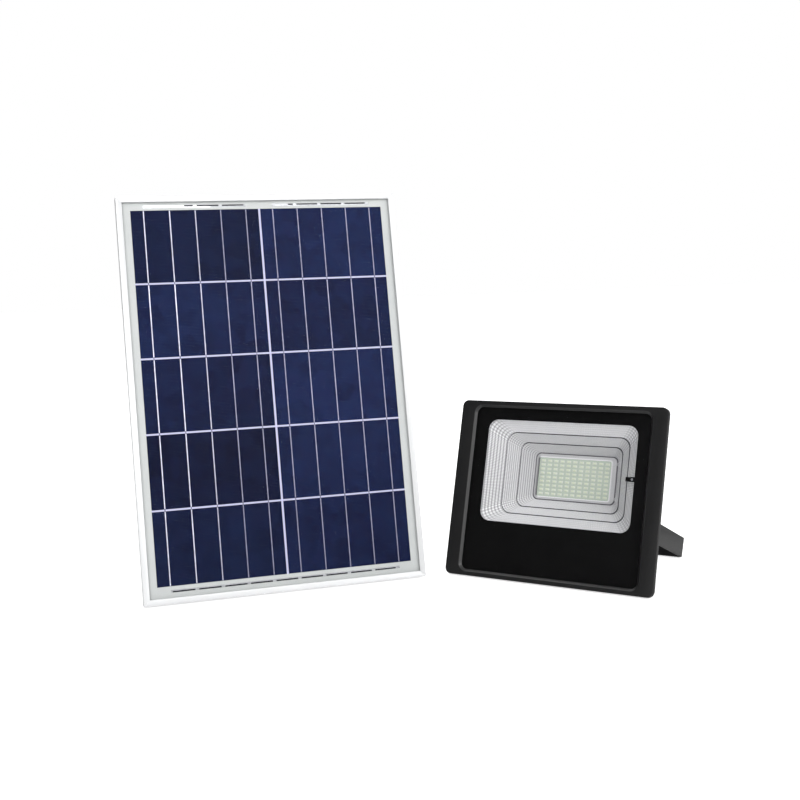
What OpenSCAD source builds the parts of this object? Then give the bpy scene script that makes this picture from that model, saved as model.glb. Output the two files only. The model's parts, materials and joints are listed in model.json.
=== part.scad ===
// Solar flood light: a framed solar panel on a tilting stand, and beside it
// a lamp head on its own U-shaped stand. The floor is at z = 0, the panel
// faces -Y and leans back, and the lamp is turned towards the panel's side.
// Each unit has a local frame: u across its face, d depth back from the face,
// v up the face from its lower edge.

/* [Panel] */
// Width of the solar panel over its frame
panel_w = 350; // [300:1:420]
// Height of the solar panel over its frame
panel_h = 492; // [420:1:600]
// Depth of the panel frame
panel_t = 17; // [17:0.5:25]
// Angle the panel leans back at rest
panel_lean = 10.8; // [5:0.1:20]

/* [Panel frame] */
// Width of the frame's front lip
lip_w = 7; // [5:0.5:10]
// Thickness of the front lip
lip_t = 1.5; // [1:0.1:2]
// Wall of the frame section
frame_wall = 2; // [1.5:0.1:3]
// Width of the lip behind the laminate
inner_lip_w = 9; // [7:0.5:11]
// Thickness of the lip behind the laminate
inner_lip_t = 1.4; // [1:0.1:2]
// Width of the frame's rear flange
flange_w = 13; // [12:0.5:16]
// Thickness of the rear flange
flange_t = 1.5; // [1:0.1:2]
// Leg length of the corner keys
key_leg = 26; // [18:1:40]
// Thickness of the corner keys
key_t = 2.4; // [1.5:0.1:4]

/* [Solar cells] */
// Backsheet left clear at each side of the cells, measured from the frame's outside
cell_side = 16.9; // [12:0.1:24]
// The same below the cells
cell_bottom = 20.6; // [16:0.1:28]
// The same above the cells
cell_top = 16.6; // [14:0.1:28]
// Gap between the cell columns
col_gap = 2.6; // [1:0.1:5]
// Gap between the cell rows
row_gap = 2.2; // [1:0.1:5]
// Busbars on each cell
busbars = 5; // [3:1:6]
// Width of a busbar ribbon
ribbon_w = 1.2; // [0.8:0.1:2]
// Width of a collecting ribbon
collector_w = 3; // [2:0.5:6]
// Distance of the lower collecting ribbon from the cells
collector_low = 6; // [4:0.5:8]
// Distance of the upper collecting ribbons from the cells
collector_high = 4.5; // [3:0.5:6]
// Thickness of the panel's glass
panel_glass_t = 3.2; // [2.5:0.1:4]
// Thickness of the backsheet
backsheet_t = 0.8; // [0.5:0.1:1.2]

/* [Junction box] */
// Width of the junction box
jbox_w = 70; // [50:1:100]
// Height of the junction box
jbox_h = 46; // [36:1:60]
// Depth of the junction box without its lid
jbox_d = 17; // [12:0.5:24]
// Distance of the box's middle below the panel's top edge
jbox_down = 52; // [45:1:70]
// Wall of the junction box
jbox_wall = 2; // [1.5:0.1:3]

/* [Panel stand] */
// Height of the panel's hinge above its lower edge
hinge_v = 170; // [150:1:240]
// Distance of the hinge pin behind the panel's face
hinge_d = 36; // [34:0.5:42]
// Distance between the outer faces of the stand's arms
panel_stand_w = 223; // [160:1:230]
// Length of the stand's arms, from the hinge pin to the outside of the base
panel_stand_l = 204; // [190:1:260]
// Width of the cross bar
bar_h = 30; // [24:1:40]
// Thickness of the cross bar
bar_t = 3; // [2:0.5:4]
// Thickness of the hinge lugs
lug_t = 3; // [2:0.5:4]

/* [Lamp] */
// Width of the lamp
lamp_w = 276; // [266:1:340]
// Height of the lamp
lamp_h = 224; // [200:1:270]
// Radius of the lamp's corners
lamp_r = 8; // [5:0.5:12]
// Angle the lamp leans back at rest
lamp_lean = 16; // [8:0.1:20]
// Turn of the lamp about the vertical
lamp_turn = 49; // [30:1:60]
// Distance of the lamp's middle to the right of the panel's side
lamp_right = 119; // [115:1:220]
// Place of the lamp's lower edge in front of the panel's lower edge
lamp_y = 94; // [60:1:140]

/* [Lamp front] */
// Depth of the bezel
bezel_d = 6.7; // [6:0.1:9]
// Width of the bezel's face at each side
face_side = 18; // [16:0.5:24]
// Width of the bezel's face at top and bottom
face_end = 5; // [5:0.5:8]
// Size of the chamfer round the bezel's opening
bezel_chamfer = 3; // [2:0.1:3.5]
// Thickness of the front glass
glass_t = 4; // [3:0.1:5]
// How far the glass reaches under the bezel
glass_lap = 4; // [3:0.1:4.5]
// Thickness of the black print behind the glass
mask_t = 0.3; // [0.2:0.1:0.5]
// Distance of the clear window from each side
window_side = 37.5; // [34:0.5:44]
// Distance of the window from the lower edge
window_bottom = 71.8; // [70:0.1:80]
// Distance of the window from the upper edge
window_top = 22.7; // [20:0.1:30]
// Corner radius of the window
window_r = 13; // [6:0.5:16]
// Width of the glass gasket
gasket_w = 6; // [4:0.5:7]
// Thickness of the glass gasket
gasket_t = 2; // [1.5:0.1:2.5]

/* [Reflector] */
// Thickness of the reflector's wall
reflector_t = 1; // [0.8:0.1:1.5]
// How far the reflector's front opening stands outside the window
reflector_over = 3.5; // [2:0.5:5]
// Width of the reflector's side flange
reflector_flange = 8; // [7:0.5:9]
// Depth of each ledge between two tiers
ledge_d = 1.2; // [0.8:0.1:2]

/* [LEDs] */
// Columns of LED chips
led_cols = 11; // [8:1:11]
// Rows of LED chips
led_rows = 9; // [6:1:9]
// Spacing of the LED columns
led_pitch_u = 8.8; // [7:0.1:9]
// Spacing of the LED rows
led_pitch_v = 5.3; // [4.5:0.1:5.6]
// Length of a chip
chip_u = 5.7; // [4:0.1:6]
// Width of a chip
chip_v = 3; // [2:0.1:4]
// Height of a chip
chip_t = 0.8; // [0.5:0.1:1.2]
// Thickness of the LED board
led_board_t = 1.6; // [1:0.1:2]
// Depth of the LED board's rear face behind the lamp's face
led_board_d = 62.2; // [56:0.2:70]

/* [Lamp housing] */
// Wall of the housing
wall = 3; // [2.5:0.1:4]
// Thickness of the housing's front flange
housing_flange = 4.3; // [3.5:0.1:5]
// Distance from the lamp's side to the side of its tub
tub_side = 38; // [36:0.5:46]
// Number of cooling fins
fins = 13; // [7:1:17]
// Height of the cooling fins
fin_h = 13; // [8:0.5:18]
// Thickness of a fin
fin_t = 2; // [1.5:0.1:3]

/* [Battery bay] */
// Diameter of a battery cell
battery_dia = 26; // [18:0.1:26]
// Length of a battery cell
battery_l = 65; // [50:0.5:65]
// Depth of the bay's rear edge behind the lamp's face
bay_d = 47; // [46:0.5:50]
// Thickness of the bay's cover
cover_t = 3; // [2:0.1:4]
// Thickness of the cover's gasket
cover_gasket_t = 1; // [0.8:0.1:1.5]

/* [Controls] */
// Radius of the power button
button_r = 6; // [5:0.1:6.5]
// Travel of the power button
button_travel = 2.5; // [1.5:0.1:3]
// Radius of the cable glands' thread
gland_r = 6; // [5:0.1:6]
// Radius of the passage for the lead
lead_r = 2.5; // [2:0.1:3.5]

/* [Lamp stand] */
// Height of the lamp's pivot above its lower edge
pivot_v = 86; // [84:1:110]
// Distance of the pivot behind the lamp's face
pivot_d = 32; // [32:0.5:36]
// Distance from the lamp's side to the outer face of the stand's arm
arm_side = 32; // [30:0.5:33]
// Length of the stand's arms, from the pivot to the outside of the base
lamp_stand_l = 169; // [165:1:220]

/* [Stands] */
// Width of the strip both stands are bent from
strip_w = 25; // [20:0.1:26]
// Thickness of the strip
strip_t = 4; // [3:0.5:5]
// Outside radius of the strip's bends
bend_r = 9; // [6:0.5:14]
// Radius of the pivot bolts
bolt_r = 3; // [2.5:0.1:3.5]
// Radius of the fixing hole in the middle of each base
fix_r = 4.25; // [3:0.25:6]
// Radius of the two outer fixing holes
side_fix_r = 3.25; // [2.5:0.25:4.5]
// Distance between the two outer fixing holes
side_fix_span = 110; // [80:1:130]

/* [Hidden] */
$fn = 48;
cell_cols = 2;
cell_rows = 5;
run_fit = 0.08;      // radial play of a pin that turns in its bore
slip = 0.05;         // play of pieces that are seated in each other
face_gap = 0.1;      // gap between faces that slide past each other
eps = 0.01;

panel_lift = panel_t * sin(panel_lean);
lamp_lift = bezel_d * sin(lamp_lean);
lamp_x = panel_w / 2 + lamp_right;

glass_d = lip_t;
ribbon_t = 0.15;
cell_t = 0.2;
ribbon_d = glass_d + panel_glass_t;
cell_d = ribbon_d + ribbon_t;
backsheet_d = cell_d + cell_t;
seal_d = backsheet_d + backsheet_t;
seal_t = 0.6;
slot_end = seal_d + seal_t;
laminate_in = frame_wall + 0.4;
key_d = slot_end + inner_lip_t + slip;
cells_w = panel_w - 2 * cell_side;
cells_h = panel_h - cell_bottom - cell_top;
cell_w = (cells_w - (cell_cols - 1) * col_gap) / cell_cols;
cell_h = (cells_h - (cell_rows - 1) * row_gap) / cell_rows;
busbar_pitch = cell_w / busbars;

jbox_v = panel_h - jbox_down;
jbox_back = seal_d + jbox_d;
jbox_screw_u = jbox_w / 2 - 6;
jbox_screw_v = jbox_h / 2 - 6;
lid_t = 2;

bar_d = panel_t + bar_t;
lug_out = panel_stand_w / 2 - strip_t - face_gap;
lug_foot = 26;
lug_round = 11;
bar_half = panel_w / 2 - frame_wall - 0.5;
bar_screw_u = panel_w / 2 - (frame_wall + flange_w) / 2;
m5_r = 2.5;
lug_screw_u = lug_out - 14;
lug_screw_v = 8;

glass_front = bezel_chamfer;
glass_in_u = face_side + bezel_chamfer - glass_lap;
glass_in_v = face_end + bezel_chamfer - glass_lap;
mask_d = glass_front + glass_t;
gasket_d = mask_d + mask_t;
shelf_d = gasket_d + gasket_t;
flange_back = bezel_d + housing_flange;
taper_back = flange_back + 8;
window_u = lamp_w / 2 - window_side;
window_v = (window_bottom + lamp_h - window_top) / 2;
window_h = lamp_h - window_bottom - window_top;
ir_w = 6;
ir_h = 6;
ir_t = 2.5;

led_half_u = led_cols * led_pitch_u / 2 + 1;
led_half_v = led_rows * led_pitch_v / 2 + 1;
board_d = led_board_d - led_board_t;
board_rim = 7;
reflector_d = gasket_d + 0.7;
reflector_half_u = window_u + reflector_over;
reflector_half_v = window_h / 2 + reflector_over;
tier_share = [0, 0.41, 0.69, 1];    // how far each tier's rear edge has closed in
tiers = len(tier_share) - 1;
reflector_screw_u = reflector_half_u + reflector_flange / 2;
reflector_screw_v = reflector_half_v - 18;

tub_u = lamp_w / 2 - tub_side;
tub_low = window_bottom - 12;
tub_high = lamp_h - 11;
tub_in_low = tub_low + wall;
tub_in_high = tub_high - wall;
tub_back = led_board_d + wall + 0.3;
bay_low = 15;
bay_in_low = bay_low + wall;
bay_in_high = tub_low - wall;
bay_mid = (bay_in_low + bay_in_high) / 2;
bay_front = shelf_d + wall;
bay_in_u = tub_u - wall - 1;
cover_left = -tub_u + 1;
cover_right = 43;
cover_d = bay_d + cover_gasket_t;
rear_wall_d = cover_d + cover_t;
cover_post_r = 3.5;
cover_screw_r = 1.5;
cover_screw_u = [cover_left + 5.5, cover_right - 5];
cover_screw_v = [bay_in_low + 2.5, bay_in_high - 2.5];
battery_r = battery_dia / 2;
battery_gap = 1;
battery_start = -bay_in_u + 3;
holder_t = 1.2;
holder_d = bay_front + 0.1;
battery_d = holder_d + holder_t + 0.3 + battery_r;
saddle_w = 4;
controller_u = 50;
controller_d = bay_front + 3;
controller_l = bay_in_u - controller_u - 2;

button_u = tub_u - 16;
button_d = bay_d + 5.5;
barrel_r = button_r + 1.9;
barrel_end = button_d - 14;
gland_u = controller_u + 9;
gland_out = 12;

lamp_stand_w = lamp_w - 2 * arm_side;
boss_r = 11;
washer_t = 0.9;
pivot_face = lamp_stand_w / 2 - strip_t - face_gap;
bolt_head_r = 5.5;
bolt_head_t = 4;
bezel_screw_r = 2;
bezel_screw_u = lamp_w / 2 - 10.5;

// Slope of a stand whose pivot is at height h and whose lower corner is on the floor
function stand_slope(h, l) = asin(h / norm([l, strip_w / 2])) - atan(strip_w / 2 / l);
function pivot_y(v, d, lean) = v * sin(lean) + d * cos(lean);
function pivot_z(v, d, lean, lift) = lift + v * cos(lean) - d * sin(lean);
function mix(a, b, t) = a + (b - a) * t;

panel_py = pivot_y(hinge_v, hinge_d, panel_lean);
panel_pz = pivot_z(hinge_v, hinge_d, panel_lean, panel_lift);
panel_slope = stand_slope(panel_pz, panel_stand_l);
lamp_py = pivot_y(pivot_v, pivot_d, lamp_lean);
lamp_pz = pivot_z(pivot_v, pivot_d, lamp_lean, lamp_lift);
lamp_slope = stand_slope(lamp_pz, lamp_stand_l);

// Middle of the floor area that the two units cover
lamp_reach = lamp_py + lamp_stand_l * cos(lamp_slope) + strip_w / 2 * sin(lamp_slope);
panel_reach = panel_py + panel_stand_l * cos(panel_slope) + strip_w / 2 * sin(panel_slope);
row_right = lamp_x + lamp_stand_w / 2 * cos(lamp_turn) + lamp_reach * sin(lamp_turn);
row_front = -lamp_y - lamp_w / 2 * sin(lamp_turn);
row_mid = [(row_right - panel_w / 2) / 2, (panel_reach + row_front) / 2, 0];

black = "#1b1c1e";
steel = "#4c4e51";
zinc = "#b9bcc0";
silver = "#e6e8ea";
white = "#d9dcdd";
rubber = "#101112";

// Places of the two units
module in_row() translate(-row_mid) children();
module in_panel() in_row() translate([0, 0, panel_lift]) rotate([-panel_lean, 0, 0]) children();
module lamp_spot() in_row() translate([lamp_x, -lamp_y, 0]) rotate([0, 0, -lamp_turn]) children();
module in_lamp() lamp_spot() translate([0, 0, lamp_lift]) rotate([-lamp_lean, 0, 0]) children();
module both_sides() for (side = [-1, 1]) scale([side, 1, 1]) children();

// Flat outline with round corners, from [u0, v0] to [u1, v1]
module outline(u0, v0, u1, v1, r = 0) {
    if (r <= 0) translate([u0, v0]) square([u1 - u0, v1 - v0]);
    else {
        translate([u0 + r, v0]) square([u1 - u0 - 2 * r, v1 - v0]);
        translate([u0, v0 + r]) square([u1 - u0, v1 - v0 - 2 * r]);
        for (u = [u0 + r, u1 - r], v = [v0 + r, v1 - r]) translate([u, v]) circle(r);
    }
}
module deep(d0, d1) translate([0, d1, 0]) rotate([90, 0, 0]) linear_extrude(d1 - d0) children();
module plate(u0, v0, u1, v1, d0, d1, r = 0) deep(d0, d1) outline(u0, v0, u1, v1, r);
module pin_back(u, v, d0, d1, r) translate([u, d1, v]) rotate([90, 0, 0]) cylinder(r = r, h = d1 - d0);
module pin_across(u0, u1, d, v, r) translate([u0, d, v]) rotate([0, 90, 0]) cylinder(r = r, h = u1 - u0);

// Cap screw driven from the back: its head seats at depth seat and its point is at depth tip
module back_screw(u, v, tip, seat, r) difference() {
    union() {
        pin_back(u, v, tip, seat, r - slip);
        pin_back(u, v, seat, seat + 1.3 * r, 1.8 * r);
    }
    translate([u, seat + 1.3 * r + eps, v]) rotate([90, 0, 0]) cylinder(r = 0.9 * r, h = 0.8 * r, $fn = 6);
}

// Frame section: x runs in from the outside, y is depth
module frame_section() polygon([
    [0, 0], [lip_w, 0], [lip_w, lip_t], [frame_wall, lip_t],
    [frame_wall, slot_end], [inner_lip_w, slot_end],
    [inner_lip_w, slot_end + inner_lip_t], [frame_wall, slot_end + inner_lip_t],
    [frame_wall, panel_t - flange_t], [flange_w, panel_t - flange_t],
    [flange_w, panel_t], [0, panel_t]]);

// One rail with mitred ends, standing along v with its outside at u = 0
module rail(l) intersection() {
    linear_extrude(l) frame_section();
    rotate([90, 0, 0]) translate([0, 0, -panel_t - 1]) linear_extrude(panel_t + 2)
        polygon([[0, 0], [flange_w + 1, flange_w + 1], [flange_w + 1, l - flange_w - 1], [0, l]]);
}
module side_rail() difference() {
    translate([-panel_w / 2, 0, 0]) rail(panel_h);
    for (v = [-1, 1]) pin_back(-bar_screw_u, hinge_v + v * lug_screw_v, panel_t - flange_t - 1, panel_t + 1, m5_r);
}
module end_rail() translate([-panel_w / 2, 0, 0]) rotate([0, 90, 0]) scale([-1, 1, 1]) rail(panel_w);

module frame_left() color(silver) in_panel() side_rail();
module frame_right() color(silver) in_panel() scale([-1, 1, 1]) side_rail();
module frame_bottom() color(silver) in_panel() end_rail();
module frame_top() color(silver) in_panel() translate([0, 0, panel_h]) scale([1, 1, -1]) end_rail();

module corner_keys() color(zinc) in_panel() {
    k = frame_wall + slip;
    back = panel_t - flange_t - slip;
    for (side = [-1, 1], end = [0, 1]) translate([0, 0, end * panel_h]) scale([side, 1, 1 - 2 * end]) {
        deep(key_d, back) union() {
            translate([panel_w / 2 - k - key_t, k]) square([key_t, key_leg]);
            translate([panel_w / 2 - k - key_leg, k]) square([key_leg, key_t]);
        }
    }
}

// Laminate: glass, ribbons, cells and backsheet
module laminate(d0, d1) plate(-panel_w / 2 + laminate_in, laminate_in,
    panel_w / 2 - laminate_in, panel_h - laminate_in, d0, d1);
module panel_glass() color("#dfe8ee", 0.25) in_panel() laminate(glass_d, ribbon_d);
module backsheet() color(white) in_panel() laminate(backsheet_d, seal_d);
module panel_seal() color("#c9c9c6") in_panel() deep(seal_d, slot_end) difference() {
    outline(-panel_w / 2 + laminate_in, laminate_in, panel_w / 2 - laminate_in, panel_h - laminate_in);
    outline(-panel_w / 2 + inner_lip_w, inner_lip_w, panel_w / 2 - inner_lip_w, panel_h - inner_lip_w);
}

function cell_u(c) = -cells_w / 2 + c * (cell_w + col_gap);
function cell_v(r) = panel_h - cell_top - (r + 1) * cell_h - r * row_gap;
function busbar_u(c, b) = cell_u(c) + (b + 0.5) * busbar_pitch;

// Cells are numbered across each row, from the top
module cell(n) color("#1a2140") in_panel() {
    u = cell_u((n - 1) % 2);
    v = cell_v(floor((n - 1) / 2));
    plate(u, v, u + cell_w, v + cell_h, cell_d, cell_d + cell_t);
}
module cell_ribbons() color(silver) in_panel()
    for (c = [0:cell_cols - 1], r = [0:cell_rows - 1], b = [0:busbars - 1]) {
        u = busbar_u(c, b) - ribbon_w / 2;
        plate(u, cell_v(r) + 0.5, u + ribbon_w, cell_v(r) + cell_h - 0.5, ribbon_d, cell_d);
    }
module collector_ribbons() color(zinc) in_panel() {
    low = cell_bottom - collector_low;
    high = panel_h - cell_top + collector_high;
    plate(busbar_u(0, 0), low - collector_w / 2, busbar_u(1, busbars - 1), low + collector_w / 2, ribbon_d, cell_d);
    for (c = [0, 1])
        plate(busbar_u(c, 0), high - collector_w / 2, busbar_u(c, busbars - 1), high + collector_w / 2, ribbon_d, cell_d);
}

// Junction box on the backsheet
module jbox_outline(inset = 0) outline(-jbox_w / 2 + inset, jbox_v - jbox_h / 2 + inset,
    jbox_w / 2 - inset, jbox_v + jbox_h / 2 - inset, 4 - inset);
module jbox_posts(d0, d1, r) for (u = [-1, 1], v = [-1, 1])
    pin_back(u * jbox_screw_u, jbox_v + v * jbox_screw_v, d0, d1, r);
module junction_box() color(black) in_panel() difference() {
    deep(seal_d, jbox_back) jbox_outline();
    difference() {
        deep(seal_d + jbox_wall, jbox_back + 1) jbox_outline(jbox_wall);
        jbox_posts(seal_d, jbox_back + 2, 3.5);
    }
    jbox_posts(jbox_back - 8, jbox_back + 1, cover_screw_r);
    translate([0, seal_d + jbox_d / 2, jbox_v - jbox_h / 2 - 1]) cylinder(r = gland_r, h = jbox_wall + 2);
}
module junction_terminals() color("#d7d2c4") in_panel() difference() {
    plate(-14, jbox_v - 3, 14, jbox_v + 11, seal_d + jbox_wall, jbox_back - 3);
    for (u = [-9, 0, 9]) pin_back(u, jbox_v + 4, jbox_back - 6, jbox_back, 2.2);
}
module junction_lid() color(black) in_panel() difference() {
    deep(jbox_back, jbox_back + lid_t) jbox_outline();
    jbox_posts(jbox_back - 1, jbox_back + lid_t + 1, cover_screw_r + 0.1);
}
module junction_screws() color(zinc) in_panel() for (u = [-1, 1], v = [-1, 1])
    back_screw(u * jbox_screw_u, jbox_v + v * jbox_screw_v, jbox_back - 7, jbox_back + lid_t, cover_screw_r);

// Cable gland along z: thread above z = 0 through a wall, hexagon and dome below
module gland(thread) difference() {
    union() {
        cylinder(r = gland_r - slip, h = thread);
        translate([0, 0, -4]) cylinder(r = gland_r + 2.6, h = 4, $fn = 6);
        translate([0, 0, -gland_out]) cylinder(r1 = gland_r - 0.6, r2 = gland_r + 1.6, h = gland_out - 4);
    }
    translate([0, 0, -gland_out - 1]) cylinder(r = lead_r, h = thread + gland_out + 2);
}
module junction_gland() color(rubber) in_panel()
    translate([0, seal_d + jbox_d / 2, jbox_v - jbox_h / 2]) gland(jbox_wall + 4);

// Cross bar, lugs and stand of the panel
module bar_holes(r) {
    for (side = [-1, 1], v = [-1, 1]) {
        pin_back(side * bar_screw_u, hinge_v + v * lug_screw_v, panel_t - 3, bar_d + lug_t + 1, r);
        pin_back(side * lug_screw_u, hinge_v + v * lug_screw_v, panel_t - 3, bar_d + lug_t + 1, r);
    }
}
module cross_bar() color(steel) in_panel() difference() {
    plate(-bar_half, hinge_v - bar_h / 2, bar_half, hinge_v + bar_h / 2, panel_t, bar_d);
    bar_holes(m5_r);
}
module hinge_lugs() color(steel) in_panel() difference() {
    both_sides() {
        plate(lug_out - lug_foot, hinge_v - bar_h / 2, lug_out, hinge_v + bar_h / 2, bar_d, bar_d + lug_t);
        translate([lug_out - lug_t, bar_d, hinge_v - lug_round]) cube([lug_t, hinge_d - bar_d, 2 * lug_round]);
        pin_across(lug_out - lug_t, lug_out, hinge_d, hinge_v, lug_round);
    }
    bar_holes(m5_r);
    both_sides() pin_across(lug_out - lug_t - 1, lug_out + 1, hinge_d, hinge_v, bolt_r);
}
module bar_screws() color(zinc) in_panel() for (side = [-1, 1], v = [-1, 1]) {
    back_screw(side * bar_screw_u, hinge_v + v * lug_screw_v, panel_t - flange_t - 2, bar_d, m5_r);
    back_screw(side * lug_screw_u, hinge_v + v * lug_screw_v, panel_t, bar_d + lug_t, m5_r);
}

// U-shaped stand: the pivot is at the origin, the arms run along +Y to the base
module stand(w, l) {
    half = w / 2;
    in_r = bend_r - strip_t;
    difference() {
        intersection() {
            translate([0, 0, -strip_w / 2]) linear_extrude(strip_w) difference() {
                union() {
                    translate([-half, -strip_w / 2]) square([w, l + strip_w / 2 - bend_r]);
                    translate([-half + bend_r, 0]) square([w - 2 * bend_r, l]);
                    for (side = [-1, 1]) translate([side * (half - bend_r), l - bend_r]) circle(bend_r);
                }
                translate([-half + strip_t, -strip_w]) square([w - 2 * strip_t, l + strip_w - strip_t - in_r]);
                translate([-half + bend_r, -strip_w]) square([w - 2 * bend_r, l + strip_w - strip_t]);
                for (side = [-1, 1]) translate([side * (half - bend_r), l - bend_r]) circle(in_r);
            }
            union() {
                pin_across(-half - 1, half + 1, 0, 0, strip_w / 2);
                translate([-half - 1, 0, -strip_w / 2 - 1]) cube([w + 2, l + 1, strip_w + 2]);
            }
        }
        pin_across(-half - 1, half + 1, 0, 0, bolt_r + run_fit);
        pin_back(0, 0, l - strip_t - 1, l + 1, fix_r);
        for (side = [-1, 1]) pin_back(side * side_fix_span / 2, 0, l - strip_t - 1, l + 1, side_fix_r);
    }
}
module panel_stand() color(steel) in_row() translate([0, panel_py, panel_pz])
    rotate([-panel_slope, 0, 0]) stand(panel_stand_w, panel_stand_l);
module lamp_stand() color(steel) lamp_spot() translate([0, lamp_py, lamp_pz])
    rotate([-lamp_slope, 0, 0]) stand(lamp_stand_w, lamp_stand_l);

// Hinge bolt of the panel, from outside the arm through the lug into its nut
module panel_pivot_bolts() color(zinc) in_panel() both_sides() {
    out = panel_stand_w / 2 + face_gap + washer_t;
    pin_across(lug_out - lug_t - 8, out, hinge_d, hinge_v, bolt_r - slip);
    translate([out, hinge_d, hinge_v]) rotate([0, 90, 0]) cylinder(r = bolt_head_r, h = bolt_head_t, $fn = 6);
}
module panel_pivot_nuts() color(zinc) in_panel() both_sides() difference() {
    translate([lug_out - lug_t - 6, hinge_d, hinge_v]) rotate([0, 90, 0]) cylinder(r = bolt_head_r, h = 6, $fn = 6);
    pin_across(lug_out - lug_t - 7, lug_out, hinge_d, hinge_v, bolt_r);
}
module washer_ring(u, d, v) difference() {
    pin_across(u, u + washer_t, d, v, 2.1 * bolt_r);
    pin_across(u - 1, u + washer_t + 1, d, v, bolt_r);
}
module panel_washers() color(zinc) in_panel() both_sides()
    washer_ring(panel_stand_w / 2 + face_gap, hinge_d, hinge_v);

// Lamp front
module lamp_outline(u, v, r) outline(-lamp_w / 2 + u, v, lamp_w / 2 - u, lamp_h - v, r);
module opening(grow, d) deep(d, d + 0.05)
    lamp_outline(face_side + bezel_chamfer - grow, face_end + bezel_chamfer - grow, lamp_r + grow, $fn = 32);
module bezel_screw_places() for (side = [-1, 1], n = [0:3])
    translate([side * bezel_screw_u, 0, mix(16, lamp_h - 16, n / 3)]) children();
module front_bezel() color(black) in_lamp() difference() {
    deep(0, bezel_d) lamp_outline(0, 0, lamp_r);
    hull() {
        opening(bezel_chamfer + 0.1, -0.15);
        opening(0, bezel_chamfer - 0.05);
    }
    deep(bezel_chamfer - 0.1, bezel_d + 1)
        lamp_outline(face_side + bezel_chamfer, face_end + bezel_chamfer, lamp_r);
    deep(glass_front, bezel_d + 1) lamp_outline(glass_in_u - slip, glass_in_v - slip, lamp_r - glass_lap);
    bezel_screw_places() pin_back(0, 0, 2, bezel_d + 1, bezel_screw_r);
}
module front_glass() color("#20262a", 0.3) in_lamp()
    deep(glass_front, mask_d) lamp_outline(glass_in_u, glass_in_v, lamp_r - glass_lap);
module glass_mask() color("#0c0d0e") in_lamp() deep(mask_d, gasket_d) difference() {
    lamp_outline(glass_in_u, glass_in_v, lamp_r - glass_lap);
    difference() {
        outline(-window_u, window_bottom, window_u, lamp_h - window_top, window_r);
        translate([window_u - ir_w, window_v - ir_h / 2]) square([ir_w + 1, ir_h]);
    }
    translate([window_u - ir_w / 2, window_v]) circle(1.5);
}
module glass_gasket() color(rubber) in_lamp() deep(gasket_d, shelf_d) difference() {
    lamp_outline(glass_in_u, glass_in_v, lamp_r - glass_lap);
    lamp_outline(glass_in_u + gasket_w, glass_in_v + gasket_w, lamp_r);
}
module ir_receiver() color(black) in_lamp() union() {
    plate(window_u - ir_w, window_v - ir_h / 2, window_u, window_v + ir_h / 2, gasket_d, gasket_d + ir_t);
    pin_back(window_u - ir_w / 2, window_v, mask_d + slip, gasket_d + eps, 1.4);
}

// Reflector: three tiers that close in from the window to the LED field
function tier_u(t) = mix(reflector_half_u, led_half_u + 5, t);
function tier_v(t) = mix(reflector_half_v, led_half_v + 5, t);
function tier_d(t) = mix(reflector_d, board_d - 1, t);
module ring_slice(u, v, d, r) deep(d, d + 0.05)
    outline(-u, window_v - v, u, window_v + v, r, $fn = 32);
module tier_solid(n, grow) {
    a = tier_share[n];
    b = tier_share[n + 1];
    ledge = n == 0 || grow > 0 ? 0 : ledge_d;
    lap = n == 0 || grow == 0 ? 0 : grow / 2;
    hull() {
        ring_slice(tier_u(a) - ledge + grow, tier_v(a) - ledge + grow, tier_d(a) - lap, 8);
        ring_slice(tier_u(b) + grow, tier_v(b) + grow, tier_d(b) - 0.05, 6);
    }
}
module reflector() color("#d8dadc") in_lamp() difference() {
    union() {
        for (n = [0:tiers - 1]) tier_solid(n, reflector_t);
        plate(-reflector_half_u - reflector_flange, window_v - reflector_half_v - 1,
            reflector_half_u + reflector_flange, window_v + reflector_half_v + 1,
            reflector_d, shelf_d, 6);
        plate(-led_half_u - 6, window_v - led_half_v - 6, led_half_u + 6, window_v + led_half_v + 6,
            board_d - 1.05, board_d, 6);
    }
    for (n = [0:tiers - 1]) tier_solid(n, 0);
    deep(reflector_d - 1, reflector_d + 0.1)
        outline(-reflector_half_u, window_v - reflector_half_v, reflector_half_u, window_v + reflector_half_v, 8);
    plate(-led_half_u, window_v - led_half_v, led_half_u, window_v + led_half_v, board_d - 1.2, board_d + 1, 2);
    reflector_pins(reflector_d - 1, shelf_d + 1, cover_screw_r);
}

// Screw driven from the front: its head seats at depth seat and its point is at depth tip
module front_screw(u, v, seat, tip, r, head_t) difference() {
    union() {
        pin_back(u, v, seat, tip, r - slip);
        pin_back(u, v, seat - head_t, seat, 1.8 * r);
    }
    translate([u, seat - head_t + 0.5, v]) rotate([90, 0, 0]) cylinder(r = 0.8 * r, h = 1, $fn = 6);
}
module reflector_screws() color(zinc) in_lamp() for (side = [-1, 1], v = [-1, 1])
    front_screw(side * reflector_screw_u, window_v + v * reflector_screw_v,
        reflector_d, shelf_d + 5, cover_screw_r, 0.6);

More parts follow.
